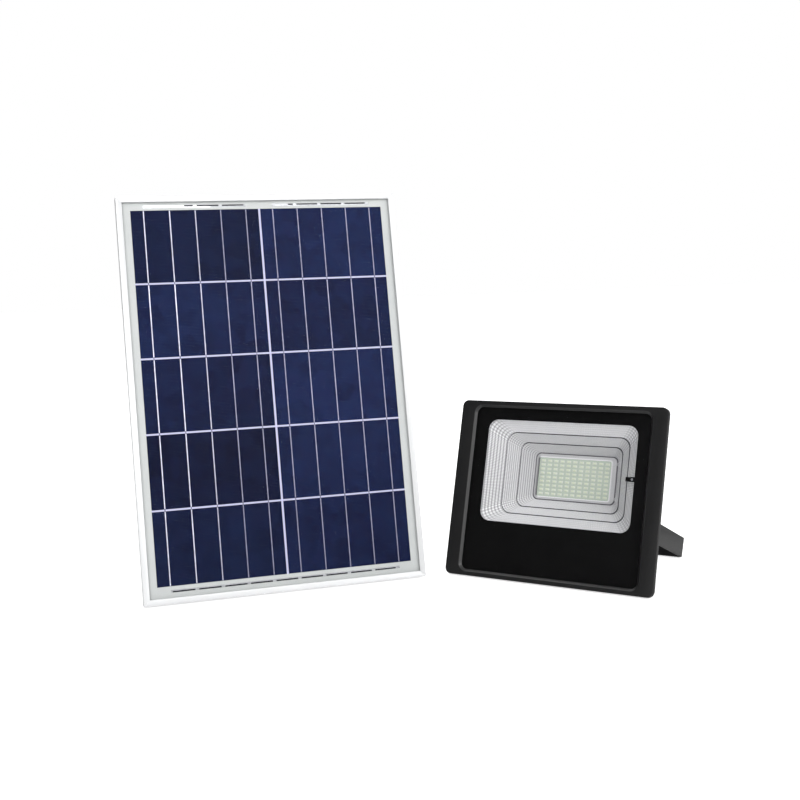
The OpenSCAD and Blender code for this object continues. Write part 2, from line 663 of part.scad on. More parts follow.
// LED board and chips
module led_board_screw_places() for (side = [-1, 1], v = [-1, 1])
    translate([side * (led_half_u + board_rim + 3), 0, window_v + v * (led_half_v - 3)]) children();
module led_board() color("#dfe3e2") in_lamp() difference() {
    plate(-led_half_u - board_rim - 7, window_v - led_half_v - board_rim,
        led_half_u + board_rim + 7, window_v + led_half_v + board_rim, board_d, led_board_d, 3);
    led_board_screw_places() pin_back(0, 0, board_d - 1, led_board_d + 1, cover_screw_r);
}
module led_chips() color("#e9edc4") in_lamp() for (c = [0:led_cols - 1], r = [0:led_rows - 1]) {
    u = (c - (led_cols - 1) / 2) * led_pitch_u;
    v = window_v + (r - (led_rows - 1) / 2) * led_pitch_v;
    plate(u - chip_u / 2, v - chip_v / 2, u + chip_u / 2, v + chip_v / 2, board_d - chip_t, board_d);
}
module board_screws() color(zinc) in_lamp() {
    led_board_screw_places() front_screw(0, 0, board_d, led_board_d + 2.5, cover_screw_r, 1.8);
    for (v = [-1, 1]) back_screw(controller_u + controller_l / 2 + v * (controller_l / 2 - 4), bay_mid + v * 11,
        bay_front + 0.5, controller_d + 1.6, cover_screw_r);
}

// Housing
module pivot_boss(d_r, u0) both_sides() pin_across(u0, pivot_face - washer_t, pivot_d, pivot_v, d_r);
module reflector_pins(d0, d1, r) for (side = [-1, 1], v = [-1, 1])
    pin_back(side * reflector_screw_u, window_v + v * reflector_screw_v, d0, d1, r);
module cover_places() for (u = cover_screw_u, v = cover_screw_v) translate([u, 0, v]) children();
module controller_pins(d0, d1, r) for (v = [-1, 1])
    pin_back(controller_u + controller_l / 2 + v * (controller_l / 2 - 4), bay_mid + v * 11, d0, d1, r);
module rear_housing() color(black) in_lamp() difference() {
    union() {
        deep(bezel_d, flange_back) lamp_outline(5, 2, lamp_r - 1);
        hull() {
            deep(flange_back - 0.05, flange_back) lamp_outline(16, 4, lamp_r, $fn = 32);
            plate(-tub_u, bay_low, tub_u, tub_high, taper_back - 0.05, taper_back, lamp_r, $fn = 32);
        }
        plate(-tub_u, tub_low, tub_u, tub_high, taper_back - 1, tub_back, lamp_r);
        plate(-tub_u, bay_low, tub_u, tub_low + lamp_r, taper_back - 1, bay_d, 4);
        plate(cover_right + 0.5, bay_low, tub_u, tub_low + 2, bay_d - 1, rear_wall_d, 2);
        for (n = [0:fins - 1]) {
            u = mix(-tub_u + 8, tub_u - 8, n / (fins - 1));
            translate([u - fin_t / 2, tub_back - 1, tub_low + 7]) cube([fin_t, fin_h + 1, tub_high - tub_low - 14]);
        }
        pivot_boss(boss_r, tub_u - 1);
    }
    deep(bezel_d - 1, shelf_d) lamp_outline(glass_in_u - slip, glass_in_v - slip, lamp_r - glass_lap);
    difference() {
        union() {
            hull() {
                plate(-tub_u - 15, tub_in_low, tub_u + 15, tub_in_high, shelf_d - 0.1, shelf_d, 6, $fn = 32);
                plate(-tub_u + wall, tub_in_low, tub_u - wall, tub_in_high, taper_back - 1, taper_back, 6, $fn = 32);
            }
            plate(-tub_u + wall, tub_in_low, tub_u - wall, tub_in_high, taper_back - 1, led_board_d, 6);
        }
        reflector_pins(0, led_board_d, 3.5);
    }
    difference() {
        plate(-bay_in_u, bay_in_low, bay_in_u, bay_in_high, bay_front, bay_d, 3);
        cover_places() pin_back(0, 0, bay_front, bay_d, cover_post_r);
        controller_pins(bay_front - 1, controller_d, 2.8);
    }
    plate(-bay_in_u, bay_in_low, cover_right - 1, bay_in_high, bay_d - 1, rear_wall_d + 1, 3);
    cover_places() pin_back(0, 0, bay_d - 9, bay_d + 1, cover_screw_r);
    reflector_pins(shelf_d - 1, shelf_d + 5.2, cover_screw_r);
    led_board_screw_places() pin_back(0, 0, led_board_d - 1, led_board_d + 2.6, cover_screw_r);
    bezel_screw_places() pin_back(0, 0, bezel_d - 1, flange_back + 1, bezel_screw_r + 0.1);
    controller_pins(bay_front, controller_d, cover_screw_r);
    both_sides() pin_across(tub_u - wall - 1, pivot_face + 1, pivot_d, pivot_v, bolt_r);
    pin_back(button_u, bay_mid, bay_d - 4, rear_wall_d + 1, barrel_r + slip);
    pin_back(gland_u, bay_mid, bay_d - 4, rear_wall_d + 1, gland_r);
}
module bezel_screws() color(steel) in_lamp() bezel_screw_places()
    back_screw(0, 0, 2.4, flange_back, bezel_screw_r);

// Battery bay
module battery_cell(n) color("#3a6ea5") in_lamp() {
    u = battery_start + (n - 1) * (battery_l + battery_gap);
    pin_across(u, u + battery_l - 1, battery_d, bay_mid, battery_r);
    pin_across(u + battery_l - 1.5, u + battery_l, battery_d, bay_mid, battery_r / 3);
}
module battery_holder() color("#2a2c2f") in_lamp() {
    half = battery_r - 1;
    difference() {
        union() {
            plate(battery_start + 4, bay_mid - half, battery_start + 2 * battery_l - 3, bay_mid + half, holder_d, holder_d + holder_t);
            for (n = [0, 1], s = [0, 1]) {
                u = battery_start + n * (battery_l + battery_gap) + 8 + s * (battery_l - 20);
                plate(u, bay_mid - half, u + saddle_w, bay_mid + half, holder_d, battery_d - 4);
            }
        }
        pin_across(battery_start - 1, battery_start + 2 * battery_l + 3, battery_d, bay_mid, battery_r + 0.15);
    }
}
module controller_board() color("#1f6b43") in_lamp() difference() {
    union() {
        top = controller_d + 1.6;
        mid = controller_u + controller_l / 2;
        plate(controller_u, bay_in_low + 1, controller_u + controller_l, bay_in_high - 1, controller_d, top, 1);
        pin_back(mid - 8, bay_mid - 10, top - eps, top + 7, 4);
        pin_back(mid + 4, bay_mid - 8, top - eps, top + 7, 4);
        plate(mid - 5, bay_mid - 1, mid + 7, bay_mid + 6, top - eps, top + 1.8);
        plate(mid - 16, bay_mid + 2, mid - 9, bay_mid + 14, top - eps, top + 5);
    }
    controller_pins(controller_d - 1, controller_d + 3, cover_screw_r);
}
module cover_outline() outline(cover_left, bay_low + 1, cover_right, tub_low - 1, 3);
module cover_gasket() color(rubber) in_lamp() deep(bay_d, cover_d) difference() {
    cover_outline();
    difference() {
        outline(-bay_in_u + 1, bay_in_low + 1, cover_right - 3, bay_in_high - 1, 2);
        for (u = cover_screw_u, v = cover_screw_v) translate([u, v]) circle(cover_post_r - 0.5);
    }
    for (u = cover_screw_u, v = cover_screw_v) translate([u, v]) circle(cover_screw_r);
}
module battery_cover() color(black) in_lamp() difference() {
    deep(cover_d, rear_wall_d) cover_outline();
    cover_places() pin_back(0, 0, bay_d, rear_wall_d + 1, cover_screw_r);
}
module cover_screws() color(steel) in_lamp() cover_places()
    back_screw(0, 0, bay_d - 8, rear_wall_d, cover_screw_r);

// Power button: a plunger in a threaded barrel, with its contact block behind
module power_button() color("#b7babd") in_lamp()
    pin_back(button_u, bay_mid, barrel_end + 4.5, button_d + button_travel + 1.5, button_r - run_fit);
module button_barrel() color(steel) in_lamp() difference() {
    union() {
        pin_back(button_u, bay_mid, barrel_end, rear_wall_d, barrel_r);
        pin_back(button_u, bay_mid, rear_wall_d, button_d, barrel_r + 1.6);
    }
    pin_back(button_u, bay_mid, barrel_end + 1, button_d + 1, button_r);
}
module button_contact() color("#2b4a7c") in_lamp()
    plate(button_u - 6, bay_mid - 6, button_u + 6, bay_mid + 6, barrel_end - 7, barrel_end, 1);
module lamp_gland() color(rubber) in_lamp() translate([gland_u, rear_wall_d, bay_mid])
    rotate([90, 0, 0]) gland(rear_wall_d - bay_d + 7);
module gland_nut() color(rubber) in_lamp() difference() {
    translate([gland_u, bay_d - 1, bay_mid]) rotate([90, 0, 0]) cylinder(r = gland_r + 2.2, h = 4, $fn = 6);
    pin_back(gland_u, bay_mid, bay_d - 8, bay_d, gland_r);
}

// Pivot of the lamp: bolts from outside the arms into the housing's bosses
module lamp_pivot_bolts() color(zinc) in_lamp() both_sides() {
    out = lamp_stand_w / 2 + face_gap;
    pin_across(tub_u - wall, out, pivot_d, pivot_v, bolt_r - slip);
    translate([out, pivot_d, pivot_v]) rotate([0, 90, 0]) cylinder(r = bolt_head_r, h = bolt_head_t, $fn = 6);
}
module lamp_washers() color(zinc) in_lamp() both_sides()
    washer_ring(pivot_face - washer_t, pivot_d, pivot_v);

frame_left();
frame_right();
frame_top();
frame_bottom();
corner_keys();
panel_glass();
cell_ribbons();
collector_ribbons();
for (n = [1:10]) cell(n);
backsheet();
panel_seal();
junction_box();
junction_terminals();
junction_lid();
junction_screws();
junction_gland();
cross_bar();
hinge_lugs();
bar_screws();
panel_stand();
panel_pivot_bolts();
panel_pivot_nuts();
panel_washers();
front_bezel();
front_glass();
glass_mask();
glass_gasket();
reflector();
reflector_screws();
led_board();
led_chips();
board_screws();
ir_receiver();
rear_housing();
bezel_screws();
for (n = [1, 2]) battery_cell(n);
battery_holder();
controller_board();
cover_gasket();
battery_cover();
cover_screws();
power_button();
button_barrel();
button_contact();
lamp_gland();
gland_nut();
lamp_pivot_bolts();
lamp_washers();
lamp_stand();
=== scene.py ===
# Solar flood light: the finished looks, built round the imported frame.
import json
import math
import bpy
import bmesh
import numpy as np
from mathutils import Matrix


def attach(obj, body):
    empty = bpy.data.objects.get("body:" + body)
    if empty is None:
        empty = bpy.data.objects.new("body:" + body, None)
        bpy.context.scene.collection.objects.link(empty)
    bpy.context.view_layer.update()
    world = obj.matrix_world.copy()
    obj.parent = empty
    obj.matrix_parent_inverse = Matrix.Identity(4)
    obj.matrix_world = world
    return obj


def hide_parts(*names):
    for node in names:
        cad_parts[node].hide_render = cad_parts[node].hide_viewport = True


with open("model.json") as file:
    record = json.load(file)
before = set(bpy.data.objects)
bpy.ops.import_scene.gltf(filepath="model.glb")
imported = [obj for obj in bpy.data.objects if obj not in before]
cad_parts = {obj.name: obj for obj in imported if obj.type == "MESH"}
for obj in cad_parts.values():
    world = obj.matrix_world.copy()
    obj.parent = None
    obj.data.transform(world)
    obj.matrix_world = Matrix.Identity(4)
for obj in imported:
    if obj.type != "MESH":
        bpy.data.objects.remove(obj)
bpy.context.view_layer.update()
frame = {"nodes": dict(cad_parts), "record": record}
scene = bpy.context.scene
bodyOf = {node: body for body, nodes in frame["record"]["behaviour"]["bodies"].items() for node in nodes}
jointNamed = {joint["name"]: joint for joint in frame["record"]["behaviour"]["joints"]}
print("frame loaded:", len(frame["nodes"]), "nodes")

# Camera first
cameraView = {
    "place": (-0.4583, -1.4133, 0.3950),  # metres
    "turn": -17.0,    # degrees about the vertical
    "down": 6.456,    # degrees below the horizon
    "roll": -1.795,   # degrees about the line of sight
    "lens": 54.0,     # mm on a 36 mm sensor
}


def addCamera(view):
    data = bpy.data.cameras.new("camera")
    data.lens = view["lens"]
    data.sensor_width = 36.0
    data.clip_start = 0.01
    camera = bpy.data.objects.new("camera", data)
    scene.collection.objects.link(camera)
    turn = Matrix.Rotation(math.radians(view["turn"]), 4, "Z")
    tip = Matrix.Rotation(math.radians(90 - view["down"]), 4, "X")
    roll = Matrix.Rotation(math.radians(view["roll"]), 4, "Z")
    camera.matrix_world = Matrix.Translation(view["place"]) @ turn @ tip @ roll
    scene.camera = camera


addCamera(cameraView)

studio = {
    "sky": {"base": 0.4, "east": 0.42, "up": 0.38, "strength": 0.9},
    "floor": (0.9, 0.9, 0.9),
    "glow": 0.62,     # share of the floor's own white seen by the camera
    "key": {"place": (0.8, -2.8, 1.5), "size": 1.5, "power": 30},
    "fill": {"place": (-1.3, -2.4, 1.3), "size": 1.6, "power": 34},
    "back": {"place": (0.2, 2.0, 2.6), "size": 2.2, "power": 40},
}


def addStudio(values):
    # The camera sees plain white; the light itself is brighter from the right and from above
    sky = values["sky"]
    world = bpy.data.worlds.new("softSky")
    world.use_nodes = True
    tree = world.node_tree
    shade = tree.nodes["Background"]
    place = tree.nodes.new("ShaderNodeTexCoord")
    split = tree.nodes.new("ShaderNodeSeparateXYZ")
    tree.links.new(place.outputs["Generated"], split.inputs[0])
    east = addMath(tree, "MULTIPLY", split.outputs["X"], sky["east"])
    rise = addMath(tree, "MULTIPLY", split.outputs["Z"], sky["up"])
    glow = addMath(tree, "ADD", addMath(tree, "ADD", east, rise), sky["base"], clamp=True)
    ray = tree.nodes.new("ShaderNodeLightPath")
    soft = addMath(tree, "MULTIPLY", glow, sky["strength"])
    tree.links.new(addMath(tree, "MAXIMUM", soft, ray.outputs["Is Camera Ray"]), shade.inputs["Strength"])
    shade.inputs["Color"].default_value = (1, 1, 1, 1)
    scene.world = world
    scene.view_settings.view_transform = "Standard"
    for name in ("key", "fill", "back"):
        lamp = values[name]
        data = bpy.data.lights.new(name, "AREA")
        data.size = lamp["size"]
        data.energy = lamp["power"]
        light = bpy.data.objects.new(name, data)
        scene.collection.objects.link(light)
        aim = np.array([0, 0, 0.2]) - np.array(lamp["place"])
        z = -aim / np.linalg.norm(aim)
        x = np.cross([0, 0, 1], z)
        x /= np.linalg.norm(x)
        facing = Matrix((x, np.cross(z, x), z)).transposed().to_4x4()
        light.matrix_world = Matrix.Translation(lamp["place"]) @ facing
    mesh = bpy.data.meshes.new("floor")
    far = 12.0
    mesh.from_pydata([(-far, -far, 0), (far, -far, 0), (far, far, 0), (-far, far, 0)], [], [(0, 1, 2, 3)])
    floor = bpy.data.objects.new("floor", mesh)
    scene.collection.objects.link(floor)
    pale, tree, shader = newMaterial("paleFloor")
    shader.inputs["Base Color"].default_value = (*values["floor"], 1)
    shader.inputs["Roughness"].default_value = 0.8
    shader.inputs["Specular IOR Level"].default_value = 0.1
    shader.inputs["Emission Color"].default_value = (1, 1, 1, 1)
    ray = tree.nodes.new("ShaderNodeLightPath")
    tree.links.new(addMath(tree, "MULTIPLY", ray.outputs["Is Camera Ray"], values["glow"]),
                   shader.inputs["Emission Strength"])
    mesh.materials.append(pale)


# Shared shader effects


def newGroup(name, inputs, outputs):
    # Inputs are given as label, kind and value, outputs as label and kind
    group = bpy.data.node_groups.new(name, "ShaderNodeTree")
    for label, kind, value in inputs:
        socket = group.interface.new_socket(label, in_out="INPUT", socket_type=kind)
        socket.default_value = value
    for label, kind in outputs:
        group.interface.new_socket(label, in_out="OUTPUT", socket_type=kind)
    return group, group.nodes.new("NodeGroupInput"), group.nodes.new("NodeGroupOutput")


def addNode(tree, kind, settings=None, **values):
    node = tree.nodes.new(kind)
    for key, value in (settings or {}).items():
        setattr(node, key, value)
    for key, value in values.items():
        node.inputs[key.replace("_", " ")].default_value = value
    return node


def addMath(tree, operation, a, b=None, clamp=False):
    node = tree.nodes.new("ShaderNodeMath")
    node.operation = operation
    node.use_clamp = clamp
    for slot, value in ((0, a), (1, b)):
        if value is None:
            continue
        if isinstance(value, (int, float)):
            node.inputs[slot].default_value = value
        else:
            tree.links.new(value, node.inputs[slot])
    return node.outputs[0]


def addMix(tree, share, a, b):
    node = tree.nodes.new("ShaderNodeMix")
    node.data_type = "RGBA"
    for slot, value in ((0, share), (6, a), (7, b)):
        if isinstance(value, (int, float)):
            node.inputs[slot].default_value = value
        elif isinstance(value, tuple):
            node.inputs[slot].default_value = (*value, 1) if len(value) == 3 else value
        else:
            tree.links.new(value, node.inputs[slot])
    return node.outputs[2]


def buildGrain():
    # Height is two layers of noise, a coarse one and one four times finer at 0.4 of its strength
    group, start, end = newGroup(
        "grain",
        [("Scale", "NodeSocketFloat", 800.0), ("Tint Scale", "NodeSocketFloat", 20.0)],
        [("Height", "NodeSocketFloat"), ("Tint", "NodeSocketFloat")])
    place = group.nodes.new("ShaderNodeTexCoord")
    coarse = addNode(group, "ShaderNodeTexNoise", Detail=2.0)
    fine = addNode(group, "ShaderNodeTexNoise", Detail=1.0)
    tint = addNode(group, "ShaderNodeTexNoise", Detail=3.0)
    for noise in (coarse, fine, tint):
        group.links.new(place.outputs["Object"], noise.inputs["Vector"])
    group.links.new(start.outputs["Scale"], coarse.inputs["Scale"])
    group.links.new(addMath(group, "MULTIPLY", start.outputs["Scale"], 4.0), fine.inputs["Scale"])
    group.links.new(start.outputs["Tint Scale"], tint.inputs["Scale"])
    small = addMath(group, "MULTIPLY", fine.outputs["Fac"], 0.4)
    group.links.new(addMath(group, "ADD", coarse.outputs["Fac"], small), end.inputs["Height"])
    group.links.new(tint.outputs["Fac"], end.inputs["Tint"])
    return group


def buildBrush():
    # Fine lines: noise on coordinates squeezed twenty-five times along the drawing direction
    group, start, end = newGroup(
        "brush",
        [("Along", "NodeSocketVector", (0, 0, 1)), ("Scale", "NodeSocketFloat", 900.0)],
        [("Height", "NodeSocketFloat"), ("Tint", "NodeSocketFloat")])
    place = group.nodes.new("ShaderNodeTexCoord")
    dot = addNode(group, "ShaderNodeVectorMath", {"operation": "DOT_PRODUCT"})
    group.links.new(place.outputs["Object"], dot.inputs[0])
    group.links.new(start.outputs["Along"], dot.inputs[1])
    back = addNode(group, "ShaderNodeVectorMath", {"operation": "SCALE"})
    group.links.new(start.outputs["Along"], back.inputs[0])
    group.links.new(addMath(group, "MULTIPLY", dot.outputs["Value"], -0.96), back.inputs["Scale"])
    squeezed = addNode(group, "ShaderNodeVectorMath", {"operation": "ADD"})
    group.links.new(place.outputs["Object"], squeezed.inputs[0])
    group.links.new(back.outputs["Vector"], squeezed.inputs[1])
    lines = addNode(group, "ShaderNodeTexNoise", Detail=3.0)
    group.links.new(squeezed.outputs["Vector"], lines.inputs["Vector"])
    group.links.new(start.outputs["Scale"], lines.inputs["Scale"])
    cloud = addNode(group, "ShaderNodeTexNoise", Scale=14.0, Detail=2.0)
    group.links.new(place.outputs["Object"], cloud.inputs["Vector"])
    group.links.new(lines.outputs["Fac"], end.inputs["Height"])
    group.links.new(cloud.outputs["Fac"], end.inputs["Tint"])
    return group


def buildWearAndHighlight():
    # Edges, for wear and painted highlight: the difference between the true normal and one rounded off over a
    # small radius
    group, start, end = newGroup(
        "edgeWearAndHighlight",
        [("Radius", "NodeSocketFloat", 0.0008), ("Gain", "NodeSocketFloat", 3.0)],
        [("Edge", "NodeSocketFloat")])
    soft = group.nodes.new("ShaderNodeBevel")
    group.links.new(start.outputs["Radius"], soft.inputs["Radius"])
    true = group.nodes.new("ShaderNodeNewGeometry")
    dot = addNode(group, "ShaderNodeVectorMath", {"operation": "DOT_PRODUCT"})
    group.links.new(soft.outputs["Normal"], dot.inputs[0])
    group.links.new(true.outputs["Normal"], dot.inputs[1])
    gap = addMath(group, "SUBTRACT", 1.0, dot.outputs["Value"])
    group.links.new(addMath(group, "MULTIPLY", gap, start.outputs["Gain"], clamp=True), end.inputs["Edge"])
    return group


def buildDust():
    # Dust lies where faces look up, broken up by cloudy noise
    group, start, end = newGroup(
        "dust",
        [("Amount", "NodeSocketFloat", 0.15)],
        [("Mask", "NodeSocketFloat")])
    place = group.nodes.new("ShaderNodeTexCoord")
    cloud = addNode(group, "ShaderNodeTexNoise", Scale=35.0, Detail=5.0)
    group.links.new(place.outputs["Object"], cloud.inputs["Vector"])
    shape = group.nodes.new("ShaderNodeNewGeometry")
    split = group.nodes.new("ShaderNodeSeparateXYZ")
    group.links.new(shape.outputs["Normal"], split.inputs[0])
    up = addMath(group, "ADD", addMath(group, "MULTIPLY", split.outputs["Z"], 0.5), 0.5, clamp=True)
    patchy = addMath(group, "MULTIPLY", up, cloud.outputs["Fac"])
    group.links.new(addMath(group, "MULTIPLY", patchy, start.outputs["Amount"]), end.inputs["Mask"])
    return group


effects = {"grain": buildGrain(), "brush": buildBrush(), "edgeWearAndHighlight": buildWearAndHighlight(), "dust": buildDust()}


def addEffect(tree, name, **values):
    node = tree.nodes.new("ShaderNodeGroup")
    node.node_tree = effects[name]
    for key, value in values.items():
        node.inputs[key.replace("_", " ")].default_value = value
    return node


def newMaterial(name):
    material = bpy.data.materials.new(name)
    material.use_nodes = True
    tree = material.node_tree
    return material, tree, tree.nodes["Principled BSDF"]


def addBump(tree, shader, height, strength, distance):
    bump = addNode(tree, "ShaderNodeBump", Strength=strength, Distance=distance)
    tree.links.new(height, bump.inputs["Height"])
    tree.links.new(bump.outputs["Normal"], shader.inputs["Normal"])


print("shader effects ready")
addStudio(studio)
print("studio ready")

# Local axes of the two units


def nodePoints(name):
    mesh = frame["nodes"][name].data
    flat = np.empty(len(mesh.vertices) * 3, np.float32)
    mesh.vertices.foreach_get("co", flat)
    return flat.reshape(-1, 3).astype(float)


def unitAxes(plateNode, across):
    # Rows are across, depth (the plate's thinnest direction, pointing back) and up the face
    points = nodePoints(plateNode)
    points = points - points.mean(axis=0)
    depth = np.linalg.svd(points, full_matrices=False)[2][2]
    depth *= np.sign(depth[1])
    across = np.array(across, float)
    across -= depth * (across @ depth)
    across /= np.linalg.norm(across)
    return np.array([across, depth, np.cross(across, depth)])


panelAxes = unitAxes("panel_glass", jointNamed["panel_tilt"]["axis"])
lampAxes = unitAxes("front_glass", jointNamed["lamp_tilt"]["axis"])


def localBox(name, axes):
    points = nodePoints(name) @ axes.T
    return points.min(axis=0), points.max(axis=0)


# Mesh helpers


def gridFaces(rows, columns, closeRows=False, closeColumns=False):
    # Quads between neighbours on a rows x columns grid of vertices, wrapping round where asked
    r = np.arange(rows if closeRows else rows - 1)
    c = np.arange(columns if closeColumns else columns - 1)
    r, c = (a.ravel() for a in np.meshgrid(r, c, indexing="ij"))
    r2 = (r + 1) % rows
    c2 = (c + 1) % columns
    return np.stack([r * columns + c, r * columns + c2, r2 * columns + c2, r2 * columns + c], axis=1)


def addPiece(name, points, faces, body, material, smooth=False):
    mesh = bpy.data.meshes.new(name)
    faces = np.asarray(faces, np.int32)
    mesh.vertices.add(len(points))
    mesh.vertices.foreach_set("co", np.asarray(points, np.float32).ravel())
    mesh.loops.add(faces.size)
    mesh.loops.foreach_set("vertex_index", faces.ravel())
    mesh.polygons.add(len(faces))
    mesh.polygons.foreach_set("loop_start", np.arange(len(faces), dtype=np.int32) * faces.shape[1])
    mesh.polygons.foreach_set("use_smooth", np.full(len(faces), smooth))
    mesh.update(calc_edges=True)
    mesh.validate()
    mesh.materials.append(material)
    piece = bpy.data.objects.new(name, mesh)
    scene.collection.objects.link(piece)
    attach(piece, body)
    return piece


def faceOut(piece):
    soft = bmesh.new()
    soft.from_mesh(piece.data)
    bmesh.ops.recalc_face_normals(soft, faces=soft.faces)
    soft.to_mesh(piece.data)
    soft.free()


def softCopy(node, width, material, angle=30, segments=2, joinFlats=True):
    # A merged copy of a CAD node whose edges are rounded off by a small bevel
    source = frame["nodes"][node]
    mesh = source.data.copy()
    mesh.name = node + "_finish"
    work = bmesh.new()
    work.from_mesh(mesh)
    bmesh.ops.remove_doubles(work, verts=work.verts, dist=2e-6)
    if joinFlats:
        bmesh.ops.dissolve_limit(work, angle_limit=math.radians(0.6), verts=work.verts, edges=work.edges)
    work.to_mesh(mesh)
    work.free()
    mesh.materials.clear()
    mesh.materials.append(material)
    mesh.polygons.foreach_set("use_smooth", np.ones(len(mesh.polygons), bool))
    piece = bpy.data.objects.new(node + "_finish", mesh)
    scene.collection.objects.link(piece)
    bevel = piece.modifiers.new("edge", "BEVEL")
    bevel.width = width
    bevel.segments = segments
    bevel.limit_method = "ANGLE"
    bevel.angle_limit = math.radians(angle)
    bevel.harden_normals = True
    bevel.miter_outer = "MITER_ARC"
    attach(piece, bodyOf[node])
    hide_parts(node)
    return piece


def paint(node, material):
    mesh = frame["nodes"][node].data
    mesh.materials.clear()
    mesh.materials.append(material)


# Finishes


def anodised(name, along, values):
    # Cloudy pale aluminium, whiter at its edges, with fine lines along one direction
    material, tree, shader = newMaterial(name)
    brush = addEffect(tree, "brush", Along=tuple(along), Scale=values["lines"])
    wearAndHighlight = addEffect(tree, "edgeWearAndHighlight", Radius=0.0006, Gain=2.0)
    cloudy = addMix(tree, brush.outputs["Tint"], values["dark"], values["light"])
    wornAndHighlit = addMix(tree, wearAndHighlight.outputs["Edge"], cloudy, (0.97, 0.97, 0.97))
    tree.links.new(wornAndHighlit, shader.inputs["Base Color"])
    shader.inputs["Metallic"].default_value = values["metal"]
    lines = addMath(tree, "MULTIPLY", brush.outputs["Height"], 0.18)
    tree.links.new(addMath(tree, "ADD", lines, values["rough"]), shader.inputs["Roughness"])
    addBump(tree, shader, brush.outputs["Height"], 0.12, 0.0002)
    return material


def powderCoat(name, values):
    # Grained coat: cloudy between dark and light, greyer at the edges as wear and as painted highlight, and
    # where dust lies
    material, tree, shader = newMaterial(name)
    grain = addEffect(tree, "grain", Scale=values["grain"], Tint_Scale=16.0)
    wearAndHighlight = addEffect(tree, "edgeWearAndHighlight", Radius=0.0007, Gain=1.6)
    dust = addEffect(tree, "dust", Amount=values["dust"])
    cloudy = addMix(tree, grain.outputs["Tint"], values["dark"], values["light"])
    wornAndHighlit = addMix(tree, addMath(tree, "MULTIPLY", wearAndHighlight.outputs["Edge"], 0.5), cloudy, values["edge"])
    tree.links.new(addMix(tree, dust.outputs["Mask"], wornAndHighlit, (0.3, 0.3, 0.29)), shader.inputs["Base Color"])
    speckle = addMath(tree, "MULTIPLY", grain.outputs["Height"], 0.12)
    tree.links.new(addMath(tree, "ADD", speckle, values["rough"]), shader.inputs["Roughness"])
    shader.inputs["Specular IOR Level"].default_value = values["gloss"]
    addBump(tree, shader, grain.outputs["Height"], values["bump"], 0.0003)
    return material


def moulded(name, dark, light, rough, grainScale=1200.0, bump=0.15, gloss=0.5):
    # Plain moulded or printed surface, its colour clouded between dark and light
    material, tree, shader = newMaterial(name)
    grain = addEffect(tree, "grain", Scale=grainScale, Tint_Scale=25.0)
    tree.links.new(addMix(tree, grain.outputs["Tint"], dark, light), shader.inputs["Base Color"])
    speckle = addMath(tree, "MULTIPLY", grain.outputs["Height"], 0.1)
    tree.links.new(addMath(tree, "ADD", speckle, rough), shader.inputs["Roughness"])
    shader.inputs["Specular IOR Level"].default_value = gloss
    addBump(tree, shader, grain.outputs["Height"], bump, 0.0002)
    return material


def metal(name, dark, light, rough, along=(0, 0, 1), lines=1500.0):
    # Bare metal with fine lines along one direction
    material, tree, shader = newMaterial(name)
    brush = addEffect(tree, "brush", Along=along, Scale=lines)
    tree.links.new(addMix(tree, brush.outputs["Tint"], dark, light), shader.inputs["Base Color"])
    shader.inputs["Metallic"].default_value = 1.0
    fine = addMath(tree, "MULTIPLY", brush.outputs["Height"], 0.15)
    tree.links.new(addMath(tree, "ADD", fine, rough), shader.inputs["Roughness"])
    addBump(tree, shader, brush.outputs["Height"], 0.08, 0.0002)
    return material


def clearPane(name, values):
    # Clear sheet seen through: its sheen grows from "face" to "edge" as the view gets more slanting
    material, tree, shader = newMaterial(name)
    grain = addEffect(tree, "grain", Scale=values["haze"], Tint_Scale=9.0)
    smear = addMath(tree, "MULTIPLY", grain.outputs["Tint"], 0.06)
    tree.links.new(addMath(tree, "ADD", smear, values["rough"]), shader.inputs["Roughness"])
    shader.inputs["Base Color"].default_value = (*values["colour"], 1)
    slant = addNode(tree, "ShaderNodeLayerWeight", Blend=0.5)
    steep = addMath(tree, "POWER", slant.outputs["Facing"], 4.0)
    sheen = addMath(tree, "MULTIPLY", steep, values["edge"])
    tree.links.new(addMath(tree, "ADD", sheen, values["face"]), shader.inputs["Alpha"])
    shader.inputs["IOR"].default_value = 1.5
    return material


